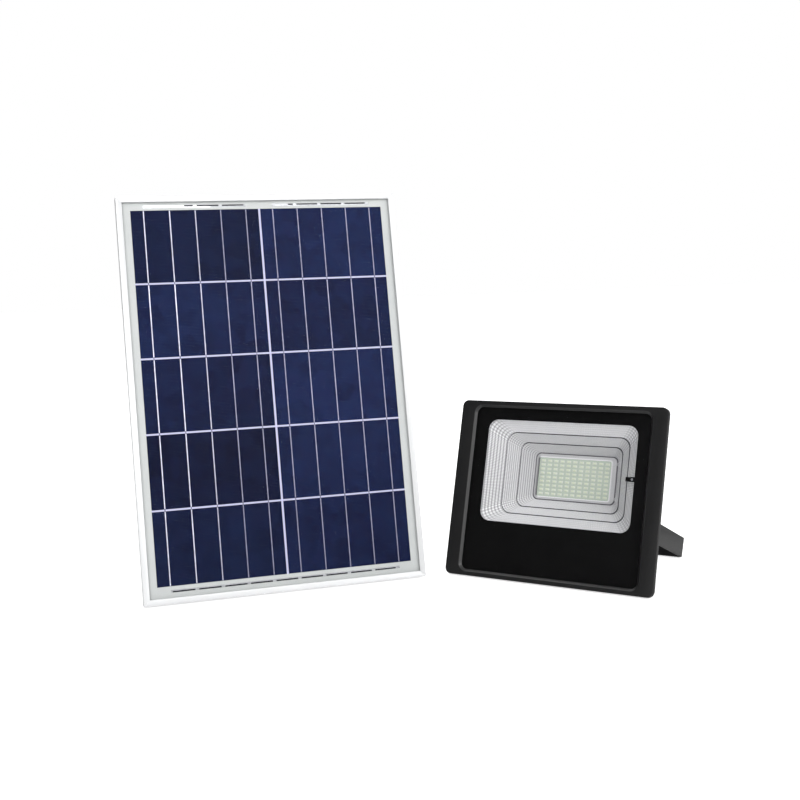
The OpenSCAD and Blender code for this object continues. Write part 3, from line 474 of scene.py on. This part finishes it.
def siliconCell(name, tone):
    # Crystals: cell noise picks one of three blues per crystal, and fine print lines run across
    material, tree, shader = newMaterial(name)
    place = tree.nodes.new("ShaderNodeTexCoord")
    warp = addNode(tree, "ShaderNodeTexNoise", Scale=60.0, Detail=2.0)
    tree.links.new(place.outputs["Object"], warp.inputs["Vector"])
    bent = addNode(tree, "ShaderNodeVectorMath", {"operation": "MULTIPLY_ADD"})
    tree.links.new(warp.outputs["Color"], bent.inputs[0])
    bent.inputs[1].default_value = (0.012, 0.012, 0.012)
    tree.links.new(place.outputs["Object"], bent.inputs[2])
    shards = []
    for scale in (48.0, 130.0):
        crystal = addNode(tree, "ShaderNodeTexVoronoi", Scale=scale, Randomness=1.0)
        tree.links.new(bent.outputs["Vector"], crystal.inputs["Vector"])
        split = tree.nodes.new("ShaderNodeSeparateColor")
        tree.links.new(crystal.outputs["Color"], split.inputs[0])
        shards.append(split.outputs[0])
    big = addMix(tree, shards[0], tone["dark"], tone["light"])
    mixed = addMix(tree, addMath(tree, "MULTIPLY", shards[1], 0.35), big, tone["accent"])
    cloud = addNode(tree, "ShaderNodeTexNoise", Scale=11.0, Detail=2.0)
    tree.links.new(place.outputs["Object"], cloud.inputs["Vector"])
    veil = addMath(tree, "MULTIPLY", cloud.outputs["Fac"], tone["veil"])
    shade = addMix(tree, veil, mixed, tone["bloom"])
    up = addNode(tree, "ShaderNodeVectorMath", {"operation": "DOT_PRODUCT"})
    tree.links.new(place.outputs["Object"], up.inputs[0])
    up.inputs[1].default_value = tuple(panelAxes[2])
    linePitch = 0.0018
    lineRate = 2 * math.pi / linePitch
    wave = addMath(tree, "SINE", addMath(tree, "MULTIPLY", up.outputs["Value"], lineRate))
    finger = addMath(tree, "MULTIPLY", addMath(tree, "GREATER_THAN", wave, 0.985), 0.12)
    tree.links.new(addMix(tree, finger, shade, (0.45, 0.47, 0.56)), shader.inputs["Base Color"])
    rough = addMath(tree, "ADD", addMath(tree, "MULTIPLY", shards[0], 0.14), 0.3)
    tree.links.new(rough, shader.inputs["Roughness"])
    shader.inputs["Specular IOR Level"].default_value = 0.02
    return material


frameFinish = {
    "dark": (0.70, 0.71, 0.72), "light": (0.78, 0.785, 0.79),
    "metal": 0.25, "rough": 0.36, "lines": 1100.0,
}
# The "edge" colours below are worn coat and painted highlight along the edges
coatFinish = {
    "dark": (0.0045, 0.0045, 0.005), "light": (0.008, 0.008, 0.0085), "edge": (0.16, 0.16, 0.16),
    "rough": 0.42, "grain": 1400.0, "bump": 0.22, "dust": 0.03, "gloss": 0.22,
}
chamferFinish = {**coatFinish, "rough": 0.26, "gloss": 0.6}
standFinish = {
    "dark": (0.009, 0.009, 0.0095), "light": (0.016, 0.016, 0.0165), "edge": (0.16, 0.16, 0.16),
    "rough": 0.42, "grain": 1100.0, "bump": 0.2, "dust": 0.03, "gloss": 0.3,
}
panelPaneFinish = {"colour": (0.2, 0.24, 0.3), "face": 0.004, "edge": 0.45, "rough": 0.1, "haze": 600.0}
lampPaneFinish = {"colour": (0.01, 0.01, 0.012), "face": 0.02, "edge": 0.7, "rough": 0.04, "haze": 400.0}
cellTones = {
    "dark": (0.004, 0.004, 0.023), "light": (0.008, 0.010, 0.044), "accent": (0.005, 0.016, 0.060),
    "bloom": (0.013, 0.029, 0.10),
}

railUp = anodised("railUpright", panelAxes[2], frameFinish)
railAcross = anodised("railAcross", panelAxes[0], frameFinish)
coat = powderCoat("blackCoat", coatFinish)
chamferCoat = powderCoat("chamferCoat", chamferFinish)
standCoat = powderCoat("standCoat", standFinish)
blackMould = moulded("blackMould", (0.012, 0.012, 0.013), (0.02, 0.02, 0.02), 0.45)
blackRubber = moulded("blackRubber", (0.01, 0.01, 0.01), (0.018, 0.018, 0.018), 0.7, 700.0, 0.3)
greySeal = moulded("greySeal", (0.5, 0.5, 0.48), (0.6, 0.6, 0.58), 0.6, 300.0, 0.3)
lensGrey = moulded("lensGrey", (0.22, 0.23, 0.25), (0.30, 0.31, 0.33), 0.25)
whiteMask = moulded("whiteSolderMask", (0.53, 0.61, 0.52), (0.62, 0.69, 0.60), 0.35, 400.0, 0.05, 0.3)
chipCase = moulded("chipCase", (0.72, 0.74, 0.70), (0.8, 0.82, 0.76), 0.4, 900.0, 0.05)
paleBlock = moulded("paleBlock", (0.6, 0.57, 0.5), (0.7, 0.67, 0.6), 0.5)
greenBoard = moulded("greenBoard", (0.01, 0.09, 0.04), (0.02, 0.15, 0.07), 0.35, 500.0, 0.1)
cellSleeve = moulded("cellSleeve", (0.02, 0.09, 0.2), (0.03, 0.12, 0.28), 0.3, 300.0, 0.05)
blackPrint = moulded("blackPrint", (0.005, 0.005, 0.0052), (0.007, 0.007, 0.0072), 0.25, 900.0, 0.02, 0.06)
zincPlate = metal("zincPlate", (0.5, 0.5, 0.52), (0.66, 0.66, 0.68), 0.32)
buttonSteel = metal("buttonSteel", (0.55, 0.55, 0.56), (0.7, 0.7, 0.71), 0.25)
panelPane = clearPane("panelPane", panelPaneFinish)
lampPane = clearPane("lampPane", lampPaneFinish)

print("finishes ready")

# Solar panel
panelEdges = {"rail": 0.0003, "mould": 0.0005, "steel": 0.0004, "lug": 0.0003}     # rounded off each edge
for side in ("left", "right"):
    softCopy("frame_" + side, panelEdges["rail"], railUp)
for end in ("top", "bottom"):
    softCopy("frame_" + end, panelEdges["rail"], railAcross)

ribbonValues = {
    # The first two tones are the ribbon tin with painted highlight and with painted shade; dark and shine are
    # painted shade and painted highlight on the collecting ribbons
    "bright": (0.62, 0.62, 0.74), "shadedTin": (0.24, 0.24, 0.33), "dark": (0.03, 0.03, 0.035),
    "shine": (0.95, 0.95, 0.98), "plain": (0.42, 0.43, 0.45),
    "columnGap": 0.0026,    # between the two cell columns
    "ribbons": 5,           # on each cell
    "fold": 0.0017,         # width of the folded part of a collecting ribbon, painted dark as painted shade
    "litPart": 0.62,        # share of the left column whose upper ribbon catches the light
    "brightPart": 0.34,     # share of the panel, from the left, whose ribbons get the painted highlight
    "blend": 5.0,           # how quickly they turn to painted shade past it
    "jointHalf": 0.07,      # half width of a soldered joint, as a share of the ribbon pitch
    "drift": 1.4,           # how much earlier the upper fold starts, per metre to the right
}


def addPlace(tree, axis):
    # How far a point lies along one axis of the panel
    place = tree.nodes.new("ShaderNodeTexCoord")
    dot = addNode(tree, "ShaderNodeVectorMath", {"operation": "DOT_PRODUCT"})
    tree.links.new(place.outputs["Object"], dot.inputs[0])
    dot.inputs[1].default_value = tuple(axis)
    return dot.outputs["Value"]


def tinFinish(name, tone, along):
    # Tinned copper: "tone" gives its colour, and fine solder marks break it up
    material, tree, shader = newMaterial(name)
    brush = addEffect(tree, "brush", Along=tuple(along), Scale=1500.0)
    grain = addEffect(tree, "grain", Scale=420.0, Tint_Scale=260.0)
    mark = addMath(tree, "ADD", addMath(tree, "MULTIPLY", grain.outputs["Tint"], 0.9), 0.5)
    tone = tone(tree)
    spotted = addNode(tree, "ShaderNodeVectorMath", {"operation": "SCALE"})
    tree.links.new(tone, spotted.inputs[0])
    tree.links.new(mark, spotted.inputs["Scale"])
    tree.links.new(spotted.outputs["Vector"], shader.inputs["Base Color"])
    shader.inputs["Metallic"].default_value = 1.0
    fine = addMath(tree, "MULTIPLY", brush.outputs["Height"], 0.15)
    tree.links.new(addMath(tree, "ADD", fine, 0.32), shader.inputs["Roughness"])
    addBump(tree, shader, brush.outputs["Height"], 0.08, 0.0002)
    return material


def busbarFinish(values):
    # The outer ribbons of the left column catch the light and are painted bright; the others are painted
    # darker, a painted shade
    low, _ = localBox("cell_9", panelAxes)
    _, high = localBox("cell_10", panelAxes)

    def tone(tree):
        along = addMath(tree, "SUBTRACT", addPlace(tree, panelAxes[0]), float(low[0]))
        part = addMath(tree, "DIVIDE", along, float(high[0] - low[0]))
        left = addMath(tree, "SUBTRACT", values["brightPart"], part)
        share = addMath(tree, "MULTIPLY", left, values["blend"], clamp=True)
        return addMix(tree, share, values["shadedTin"], values["bright"])

    return tinFinish("ribbonTin", tone, panelAxes[2])


def collectorFinish(values):
    # Along the fold each collecting ribbon is painted dark between the joints, a painted shade; the upper
    # left part is painted bright, a painted highlight
    low, high = localBox("collector_ribbons", panelAxes)
    cellLow, cellHigh = localBox("cell_9", panelAxes)
    width = float(cellHigh[0] - cellLow[0])

    def tone(tree):
        across = addMath(tree, "SUBTRACT", addPlace(tree, panelAxes[0]), float(cellLow[0]))
        up = addPlace(tree, panelAxes[2])
        beat = addMath(tree, "FRACT", addMath(tree, "DIVIDE", across, width / values["ribbons"]))
        joint = addMath(tree, "ABSOLUTE", addMath(tree, "SUBTRACT", beat, 0.5))
        between = addMath(tree, "GREATER_THAN", joint, values["jointHalf"])
        part = addMath(tree, "FRACT", addMath(tree, "DIVIDE", across, width + values["columnGap"]))
        shifted = addMath(tree, "ADD", part, addMath(tree, "MULTIPLY", across, values["drift"]))
        later = addMath(tree, "GREATER_THAN", shifted, 0.5)
        lower = addMath(tree, "LESS_THAN", up, float(low[2]) + values["fold"])
        nearTop = addMath(tree, "GREATER_THAN", up, float(high[2]) - values["fold"])
        upper = addMath(tree, "MULTIPLY", nearTop, later)
        shadedFold = addMath(tree, "MULTIPLY", addMath(tree, "ADD", lower, upper, clamp=True), between)
        lit = addMath(tree, "GREATER_THAN", up, float(low[2] + high[2]) / 2)
        lit = addMath(tree, "MULTIPLY", lit, addMath(tree, "LESS_THAN", across, width * values["litPart"]))
        return addMix(tree, shadedFold, addMix(tree, lit, values["plain"], values["shine"]), values["dark"])

    return tinFinish("collectorTin", tone, panelAxes[0])


filmValues = {"dark": (0.53, 0.55, 0.55), "light": (0.61, 0.63, 0.62), "between": (0.54, 0.54, 0.74)}


def filmFinish(values):
    # White film; between the cells, and only on its front, it picks up their blue
    material, tree, shader = newMaterial("backFilm")
    low, _ = localBox("cell_9", panelAxes)
    _, high = localBox("cell_2", panelAxes)
    grain = addEffect(tree, "grain", Scale=260.0, Tint_Scale=25.0)
    film = localBox("backsheet", panelAxes)
    middle = float(film[0][1] + film[1][1]) / 2
    inside = addMath(tree, "LESS_THAN", addPlace(tree, panelAxes[1]), middle)
    for axis in (0, 2):
        place = addPlace(tree, panelAxes[axis])
        inside = addMath(tree, "MULTIPLY", addMath(tree, "GREATER_THAN", place, float(low[axis])), inside)
        inside = addMath(tree, "MULTIPLY", addMath(tree, "LESS_THAN", place, float(high[axis])), inside)
    plain = addMix(tree, grain.outputs["Tint"], values["dark"], values["light"])
    tree.links.new(addMix(tree, inside, plain, values["between"]), shader.inputs["Base Color"])
    shader.inputs["Roughness"].default_value = 0.5
    addBump(tree, shader, grain.outputs["Height"], 0.08, 0.0002)
    return material


cellValues = {
    "lifts": (0.7, 1.2, 1.05, 1.0, 0.9, 1.2, 0.65, 1.05, 0.7, 0.95),    # brightness of each cell
    "veil": (0.2, 0.5),
    "seed": 7,
}


def paintCells(values):
    # Each cell has its own brightness, and a random share of bloom
    picks = np.random.default_rng(values["seed"])
    for n, lift in enumerate(values["lifts"]):
        tone = {part: tuple(channel * lift for channel in colour) for part, colour in cellTones.items()}
        tone["veil"] = picks.uniform(*values["veil"])
        paint("cell_%d" % (n + 1), siliconCell("silicon_%d" % (n + 1), tone))


paintCells(cellValues)
for node, material in (
        ("panel_glass", panelPane), ("backsheet", filmFinish(filmValues)), ("panel_seal", greySeal),
        ("cell_ribbons", busbarFinish(ribbonValues)), ("collector_ribbons", collectorFinish(ribbonValues)),
        ("corner_keys", zincPlate),
        ("junction_terminals", paleBlock), ("junction_screws", zincPlate), ("bar_screws", zincPlate),
        ("panel_pivot_bolts", zincPlate), ("panel_pivot_nuts", zincPlate), ("panel_washers", zincPlate),
        ("junction_gland", blackMould)):
    paint(node, material)


def boxField(centres, halves, axes):
    # One closed box at each centre; a corner is the centre plus or minus each half size
    signs = np.array([[x, y, z] for x in (-1, 1) for y in (-1, 1) for z in (-1, 1)], float)
    points = (centres[:, None, :] + signs[None, :, :] * np.asarray(halves)).reshape(-1, 3)
    sides = np.array([[0, 1, 3, 2], [4, 6, 7, 5], [0, 4, 5, 1], [2, 3, 7, 6], [0, 2, 6, 4], [1, 5, 7, 3]])
    faces = (sides[None, :, :] + 8 * np.arange(len(centres))[:, None, None]).reshape(-1, 4)
    return points @ axes, faces


stepValues = {
    "width": 0.0012,
    "deep": 0.00012,
    "gap": 0.0022,      # between two rows of cells
    "clear": 0.0001,    # kept free at each end of a step
    "sunk": 0.0002,     # behind the ribbons' front
}


def addRibbonSteps(values):
    # Where a ribbon dips through the gap between two rows it turns away from the light; each step is a box of
    # darker tin, a painted shade
    lowest, _ = localBox("cell_9", panelAxes)
    _, highest = localBox("cell_10", panelAxes)
    cellLow, cellHigh = localBox("cell_1", panelAxes)
    width = cellHigh[0] - cellLow[0]
    ribbons = ribbonValues["ribbons"]
    pitch = width / ribbons
    rows = [localBox("cell_%d" % n, panelAxes)[1][2] + values["gap"] / 2 for n in (3, 5, 7, 9)]
    starts = [lowest[0], highest[0] - width]
    across = [start + pitch * (n + 0.5) for start in starts for n in range(ribbons)]
    depth = localBox("cell_ribbons", panelAxes)[0][1] + values["deep"] / 2 + values["sunk"]
    centres = np.array([[u, depth, v] for v in rows for u in across])
    halves = (values["width"] / 2, values["deep"] / 2, values["gap"] / 2 - values["clear"])
    points, faces = boxField(centres, halves, panelAxes)
    shadedTin = metal("paintedShadeTin", (0.12, 0.12, 0.17), (0.18, 0.18, 0.25), 0.5, tuple(panelAxes[2]))
    piece = addPiece("ribbonSteps", points, faces, "panel", shadedTin)
    faceOut(piece)


addRibbonSteps(stepValues)

softCopy("junction_box", panelEdges["mould"], blackMould)
softCopy("junction_lid", panelEdges["mould"], blackMould)
softCopy("cross_bar", panelEdges["steel"], standCoat)
softCopy("hinge_lugs", panelEdges["lug"], standCoat)
softCopy("panel_stand", panelEdges["steel"], standCoat)
print("panel dressed")

# Lamp
lampEdges = {"bezel": 0.0006, "casting": 0.0004, "steel": 0.0004}     # rounded off each edge
bezel = softCopy("front_bezel", lampEdges["bezel"], coat, segments=3)
chamferValues = {"least": 0.5, "most": 0.85}    # how squarely a chamfer faces forwards, from 0 to 1


def glossChamfer(piece, material, values):
    # The machined chamfer round the opening is glossier than the coat beside it
    mesh = piece.data
    mesh.materials.append(material)
    normals = np.empty(len(mesh.polygons) * 3, np.float32)
    mesh.polygons.foreach_get("normal", normals)
    facing = -(normals.reshape(-1, 3) @ lampAxes[1])
    slanted = (facing > values["least"]) & (facing < values["most"])
    mesh.polygons.foreach_set("material_index", slanted.astype(np.int32))
    mesh.update()


glossChamfer(bezel, chamferCoat, chamferValues)
softCopy("rear_housing", lampEdges["casting"], coat, joinFlats=False)
softCopy("battery_cover", lampEdges["casting"], coat)
softCopy("lamp_stand", lampEdges["steel"], standCoat)

for node, material in (
        ("front_glass", lampPane), ("glass_mask", blackPrint), ("glass_gasket", blackRubber),
        ("reflector_screws", zincPlate), ("led_board", whiteMask), ("led_chips", chipCase),
        ("board_screws", zincPlate), ("ir_receiver", lensGrey), ("bezel_screws", zincPlate),
        ("battery_cell_1", cellSleeve), ("battery_cell_2", cellSleeve), ("battery_holder", blackMould),
        ("controller_board", greenBoard), ("cover_gasket", blackRubber), ("cover_screws", zincPlate),
        ("power_button", buttonSteel), ("button_barrel", buttonSteel), ("button_contact", blackMould),
        ("lamp_gland", blackMould), ("gland_nut", blackMould), ("lamp_pivot_bolts", zincPlate),
        ("lamp_washers", zincPlate)):
    paint(node, material)

reflectorValues = {
    "flange": 0.008,        # side flange outside the opening
    "flangeRadius": 0.008,
    "flangeTrim": 0.0005,   # the flange stops this far inside the shell's
    "flangeThick": 0.0013,
    "clear": 0.0001,        # kept free in front of the flange and under each ledge
    "upDown": 0.001,        # above and below the opening
    "fieldMargin": (0.014, 0.007),      # from the board's edge to the field of LEDs
    "backRoom": 0.001,      # between the last tier and the board
    "closing": (0.0, 0.41, 0.69, 1.0),  # share of the way in at each step
    "radii": (0.0165, 0.0125, 0.0095, 0.0065),
    "ledge": 0.0012,        # width of the step between two tiers
    "groove": 0.0012,       # its depth
    "facetRows": 7,         # in each tier
    "sideFacets": 66,       # along the upper and lower walls
    "endFacets": 46,        # along the side walls
    "cornerFacets": 6,
    "cuts": 3,              # rows and columns of vertices across a facet
    "swell": 0.0004,        # how far the middle of a facet stands proud
    "wall": 0.001,
    "boardRim": 0.005,      # width of the rim round the LEDs
    "slope": 45,            # degrees, of a facet's swell against the face
    "seamShadeSide": 0.66,   # how dark the painted shade in the seams between facets is on the side walls
    "seamShadeEnd": 0.12,    # the same on the upper and lower walls
    "tierShade": (1.0, 0.95, 0.88),     # brightness of each tier, from the front
    "upperShade": (0.0, 0.2, 0.22),     # how much darker each tier is on its upper wall
    "phaseSeamShade": 0.8,       # share of a seam's painted shade where two facets meet side by side
    "rimRise": 0.0024,      # height of the rim above the board
    "rimSeat": 0.0009,      # height of the dark groove outside it
    "rimShoulder": (0.0008, 0.0014),    # from the last tier in to the rim's foot and to its top
    "rimFall": (0.0022, 0.0008, 0.0002),    # from the LEDs out to each line of the rim's inside
    "rimRadii": (0.004, 0.003, 0.0025),
    "rimSlope": 0.0004,
    "rimShare": 0.4,        # share of the slide that is left half way in
    "grooveShade": 0.05,
    "backRadius": 0.007,
    "rimOuterShade": (0.58, 0.3),    # brightness of the satin rim's outside, and how much darker it is on the left, both painted shade
    "rimInnerShade": (0.98, 0.95),   # the same beside the LEDs
    "rimSlide": (0.0018, 0.0006),   # how far the rim's outside is set to the right and up of the LEDs
}


def rimPath(halfU, halfV, radius, values):
    # Round-cornered rectangle walked once round; each stretch has whole facets of equal length
    cuts = values["cuts"]

    def stretch(count):
        return np.arange(count * cuts) / (count * cuts)

    ends, sides, bends = (stretch(values[key]) for key in ("endFacets", "sideFacets", "cornerFacets"))
    flatU, flatV = halfU - radius, halfV - radius
    points, outward = [], []
    for quarter in range(4):
        turn = quarter * math.pi / 2
        c, s = round(math.cos(turn)), round(math.sin(turn))
        along = ends if quarter % 2 == 0 else sides
        reach = flatV if quarter % 2 == 0 else flatU
        far = halfU if quarter % 2 == 0 else halfV
        x = np.full(len(along), far)
        y = reach * (2 * along - 1)
        angle = bends * math.pi / 2
        x = np.concatenate([x, far - radius + radius * np.cos(angle)])
        y = np.concatenate([y, reach + radius * np.sin(angle)])
        nx = np.concatenate([np.ones(len(along)), np.cos(angle)])
        ny = np.concatenate([np.zeros(len(along)), np.sin(angle)])
        points.append(np.stack([x * c - y * s, x * s + y * c], axis=1))
        outward.append(np.stack([nx * c - ny * s, nx * s + ny * c], axis=1))
    return np.concatenate(points), np.concatenate(outward)


def buildReflector(values):
    # Rows of rim paths from the flange in to the LED field and back along the outside
    low, high = localBox("reflector", lampAxes)
    boardLow, boardHigh = localBox("led_board", lampAxes)
    midU = (boardLow[0] + boardHigh[0]) / 2
    midV = (boardLow[2] + boardHigh[2]) / 2
    front = np.array([high[0] - low[0], high[2] - low[2]]) / 2 - (values["flange"], values["upDown"])
    field = np.array([boardHigh[0] - boardLow[0], boardHigh[2] - boardLow[2]]) / 2 - values["fieldMargin"]
    rear = field + values["boardRim"]
    outer = front + values["flange"] - values["flangeTrim"]
    d0, d1 = low[1], high[1]
    cuts = values["cuts"]
    rows = []       # half sizes, depth, radius, swell share, shade or tier, and how far off centre
    rows.append((outer, d0 + values["clear"], values["flangeRadius"], None, 1.0))
    tiers = len(values["closing"]) - 1
    slide = np.array(values["rimSlide"])
    for n in range(tiers):
        a, b = values["closing"][n], values["closing"][n + 1]
        count = values["facetRows"] * cuts
        for k in range(count + 1):
            t = k / count
            share = a + (b - a) * t
            half = front + (rear - front) * share
            if n:
                half = half - values["ledge"] * (1 - t)
            depth = d0 + (d1 - values["backRoom"] - d0) * share
            radius = values["radii"][n] * (1 - t) + values["radii"][n + 1] * t
            offset = slide * t if n == tiers - 1 else 0 * slide
            rows.append((half + offset, depth, radius, (k % cuts) / cuts, n, offset))
        if n < tiers - 1:
            half, depth, radius = rows[-1][:3]
            # The groove between two tiers is painted fully shaded
            rows.append((half + values["clear"], depth + values["groove"], radius, None, 0.0))
            rows.append((half - values["ledge"], depth + values["groove"], radius, None, 0.0))
    half, depth, radius = rows[-1][:3]
    rise = values["rimRise"]
    rim = rear + slide
    seat = d1 - values["rimSeat"]
    foot, top = values["rimShoulder"]
    edge, lip, last = values["rimFall"]
    edgeRadius, lipRadius, lastRadius = values["rimRadii"]
    rows.append((rim, seat, radius, None, values["grooveShade"], slide))
    rows.append((rim - foot, seat, radius, None, values["grooveShade"], slide))
    rows.append((rim - top, d1 - rise, radius, None, values["rimOuterShade"], slide))
    rows.append((field + edge, d1 - rise, edgeRadius, None, values["rimOuterShade"], slide * values["rimShare"]))
    rows.append((field + lip, d1 - rise, lipRadius, None, values["rimInnerShade"]))
    rows.append((field + last, d1 - rise + values["rimSlope"], lastRadius, None, values["rimInnerShade"]))
    rows.append((field, d1, lastRadius, None, values["rimInnerShade"]))
    rows.append((rear + slide + values["wall"], d1, values["backRadius"], None, 1.0, slide))
    for n in range(tiers - 1, -1, -1):
        share = values["closing"][n]
        half = front + (rear - front) * share + values["wall"]
        depth = d0 + (d1 - values["backRoom"] - d0) * share
        if n == 0:
            depth = d0 + values["flangeThick"]
        rows.append((half, depth, values["radii"][n] + values["wall"], None, 1.0))
    rows.append((outer, d0 + values["flangeThick"], values["flangeRadius"], None, 1.0))
    phase = (np.arange(len(rimPath(front[0], front[1], 0.01, values)[0])) % cuts) / cuts
    across = 1 - (2 * phase - 1) ** 2
    facing = rimPath(front[0], front[1], values["radii"][0], values)[1]
    beside = np.abs(facing[:, 0])       # 1 on the side walls, 0 on the upper and lower ones
    points = np.empty((len(rows), len(phase), 3))
    shade = np.empty((len(rows), len(phase)))
    satin = np.zeros((len(rows), len(phase)))
    slope = math.radians(values["slope"])
    for r, (half, depth, radius, step, dark, *off) in enumerate(rows):
        rim, outward = rimPath(half[0], half[1], radius, values)
        rim = rim + (off[0] if off else 0)
        lift = np.zeros(len(phase))
        if step is not None:
            lift = values["swell"] * (1 - (2 * step - 1) ** 2) * across
        rim = rim - outward * (lift * math.sin(slope))[:, None]
        points[r, :, 0] = midU + rim[:, 0]
        points[r, :, 1] = depth - lift * math.cos(slope)
        points[r, :, 2] = midV + rim[:, 1]
        # Painted shade in "open": seams, grooves, inner tiers, upper walls and the rim's left side are darker
        if step is None:
            level, leftShade = dark if isinstance(dark, tuple) else (dark, 0)
            shade[r] = level * (1 - leftShade * np.clip(-facing[:, 0], 0, 1))
            satin[r] = isinstance(dark, tuple)
        else:
            seamShadeLevel = values["seamShadeSide"] * beside + values["seamShadeEnd"] * (1 - beside)
            creaseShade = 1 - (step == 0) * seamShadeLevel
            upper = values["upperShade"][dark] * np.clip(facing[:, 1], 0, 1)
            wall = values["tierShade"][dark] * (1 - upper)
            shade[r] = wall * creaseShade * (1 - values["phaseSeamShade"] * seamShadeLevel * (phase == 0))
    place = points.reshape(-1, 3) @ lampAxes
    faces = gridFaces(len(rows), len(phase), closeRows=True, closeColumns=True)
    piece = addPiece("reflectorSkin", place, faces, "lamp", mirrorFinish())
    for label, level in (("open", shade), ("satin", satin)):
        layer = piece.data.attributes.new(label, "FLOAT", "POINT")
        layer.data.foreach_set("value", level.ravel().astype(np.float32))
    faceOut(piece)
    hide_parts("reflector")
    return piece


def mirrorFinish():
    # Metallised plastic: bright, darkened by painted shade where "open" falls in the grooves, bare where
    # "satin" is 1
    material, tree, shader = newMaterial("mirrorFinish")
    paintedShadeMask = addNode(tree, "ShaderNodeAttribute", {"attribute_name": "open"})
    grain = addEffect(tree, "grain", Scale=500.0, Tint_Scale=60.0)
    bright = addMix(tree, grain.outputs["Tint"], (0.90, 0.90, 0.93), (0.98, 0.98, 0.99))
    tone = addMix(tree, paintedShadeMask.outputs["Fac"], (0.12, 0.12, 0.13), bright)
    tree.links.new(tone, shader.inputs["Base Color"])
    bare = addNode(tree, "ShaderNodeAttribute", {"attribute_name": "satin"})
    plated = addMath(tree, "SUBTRACT", 1.0, bare.outputs["Fac"])
    tree.links.new(addMath(tree, "MULTIPLY", plated, 0.1), shader.inputs["Metallic"])
    tree.links.new(
        addMath(tree, "ADD", addMath(tree, "MULTIPLY", grain.outputs["Tint"], 0.1), 0.14),
        shader.inputs["Roughness"])
    return material


buildReflector(reflectorValues)

phosphorValues = {
    "columns": 11, "rows": 9,
    "chip": (0.0057, 0.003),        # the package
    "window": (0.0043, 0.0021),     # the yellow part
    "rise": 0.0003,
    "sunk": 0.00002,
    "wall": 0.0002,
    "steps": 7,                     # vertices along each side of a dome
}


def buildPhosphor(values):
    # Each chip gets a low dome: height falls as one minus the fourth power of the way to its edge
    low, high = localBox("led_chips", lampAxes)
    chipU, chipV = values["chip"]
    windowU, windowV = values["window"]
    u = np.linspace(low[0] + chipU / 2, high[0] - chipU / 2, values["columns"])
    v = np.linspace(low[2] + chipV / 2, high[2] - chipV / 2, values["rows"])
    s = np.linspace(-1, 1, values["steps"])
    gu, gv = np.meshgrid(s, s, indexing="ij")
    dome = 1 - np.maximum(np.abs(gu), np.abs(gv)) ** 4
    shape = np.stack([
        gu * windowU / 2,
        low[1] + values["sunk"] - values["rise"] * dome,
        gv * windowV / 2], axis=-1).reshape(-1, 3)
    cu, cv = (a.ravel() for a in np.meshgrid(u, v, indexing="ij"))
    places = np.stack([cu, np.zeros_like(cu), cv], axis=1)
    points = (places[:, None, :] + shape[None, :, :]).reshape(-1, 3)
    one = gridFaces(values["steps"], values["steps"])
    faces = (one[None, :, :] + (np.arange(len(places)) * len(shape))[:, None, None]).reshape(-1, 4)
    material, tree, shader = newMaterial("phosphor")
    grain = addEffect(tree, "grain", Scale=1500.0, Tint_Scale=90.0)
    yellow = addMix(tree, grain.outputs["Tint"], (0.76, 0.83, 0.64), (0.86, 0.92, 0.78))
    tree.links.new(yellow, shader.inputs["Base Color"])
    shader.inputs["Roughness"].default_value = 0.25
    shader.inputs["Subsurface Weight"].default_value = 0.1
    shader.inputs["Subsurface Radius"].default_value = (0.001, 0.001, 0.0005)
    piece = addPiece("phosphorDomes", points @ lampAxes, faces, "lamp", material, smooth=True)
    thick = piece.modifiers.new("thickness", "SOLIDIFY")
    thick.thickness = values["wall"]
    return piece


buildPhosphor(phosphorValues)

tabValues = {"reach": 0.0050, "share": 0.9, "gap": 0.0001}    # share is of the receiver's height


def addSensorTab(values):
    # The dark tab goes on past the receiver as one flat box; its height is a share of the receiver's
    low, high = localBox("ir_receiver", lampAxes)
    maskLow, _ = localBox("glass_mask", lampAxes)
    front, back = maskLow[1] + values["gap"], high[1]
    across = low[0] - values["gap"] - values["reach"] / 2
    centre = np.array([[across, (front + back) / 2, (low[2] + high[2]) / 2]])
    halves = (values["reach"] / 2, (back - front) / 2, values["share"] * (high[2] - low[2]) / 2)
    points, faces = boxField(centre, halves, lampAxes)
    faceOut(addPiece("sensorTab", points, faces, "lamp", blackPrint))


addSensorTab(tabValues)
print("lamp dressed")
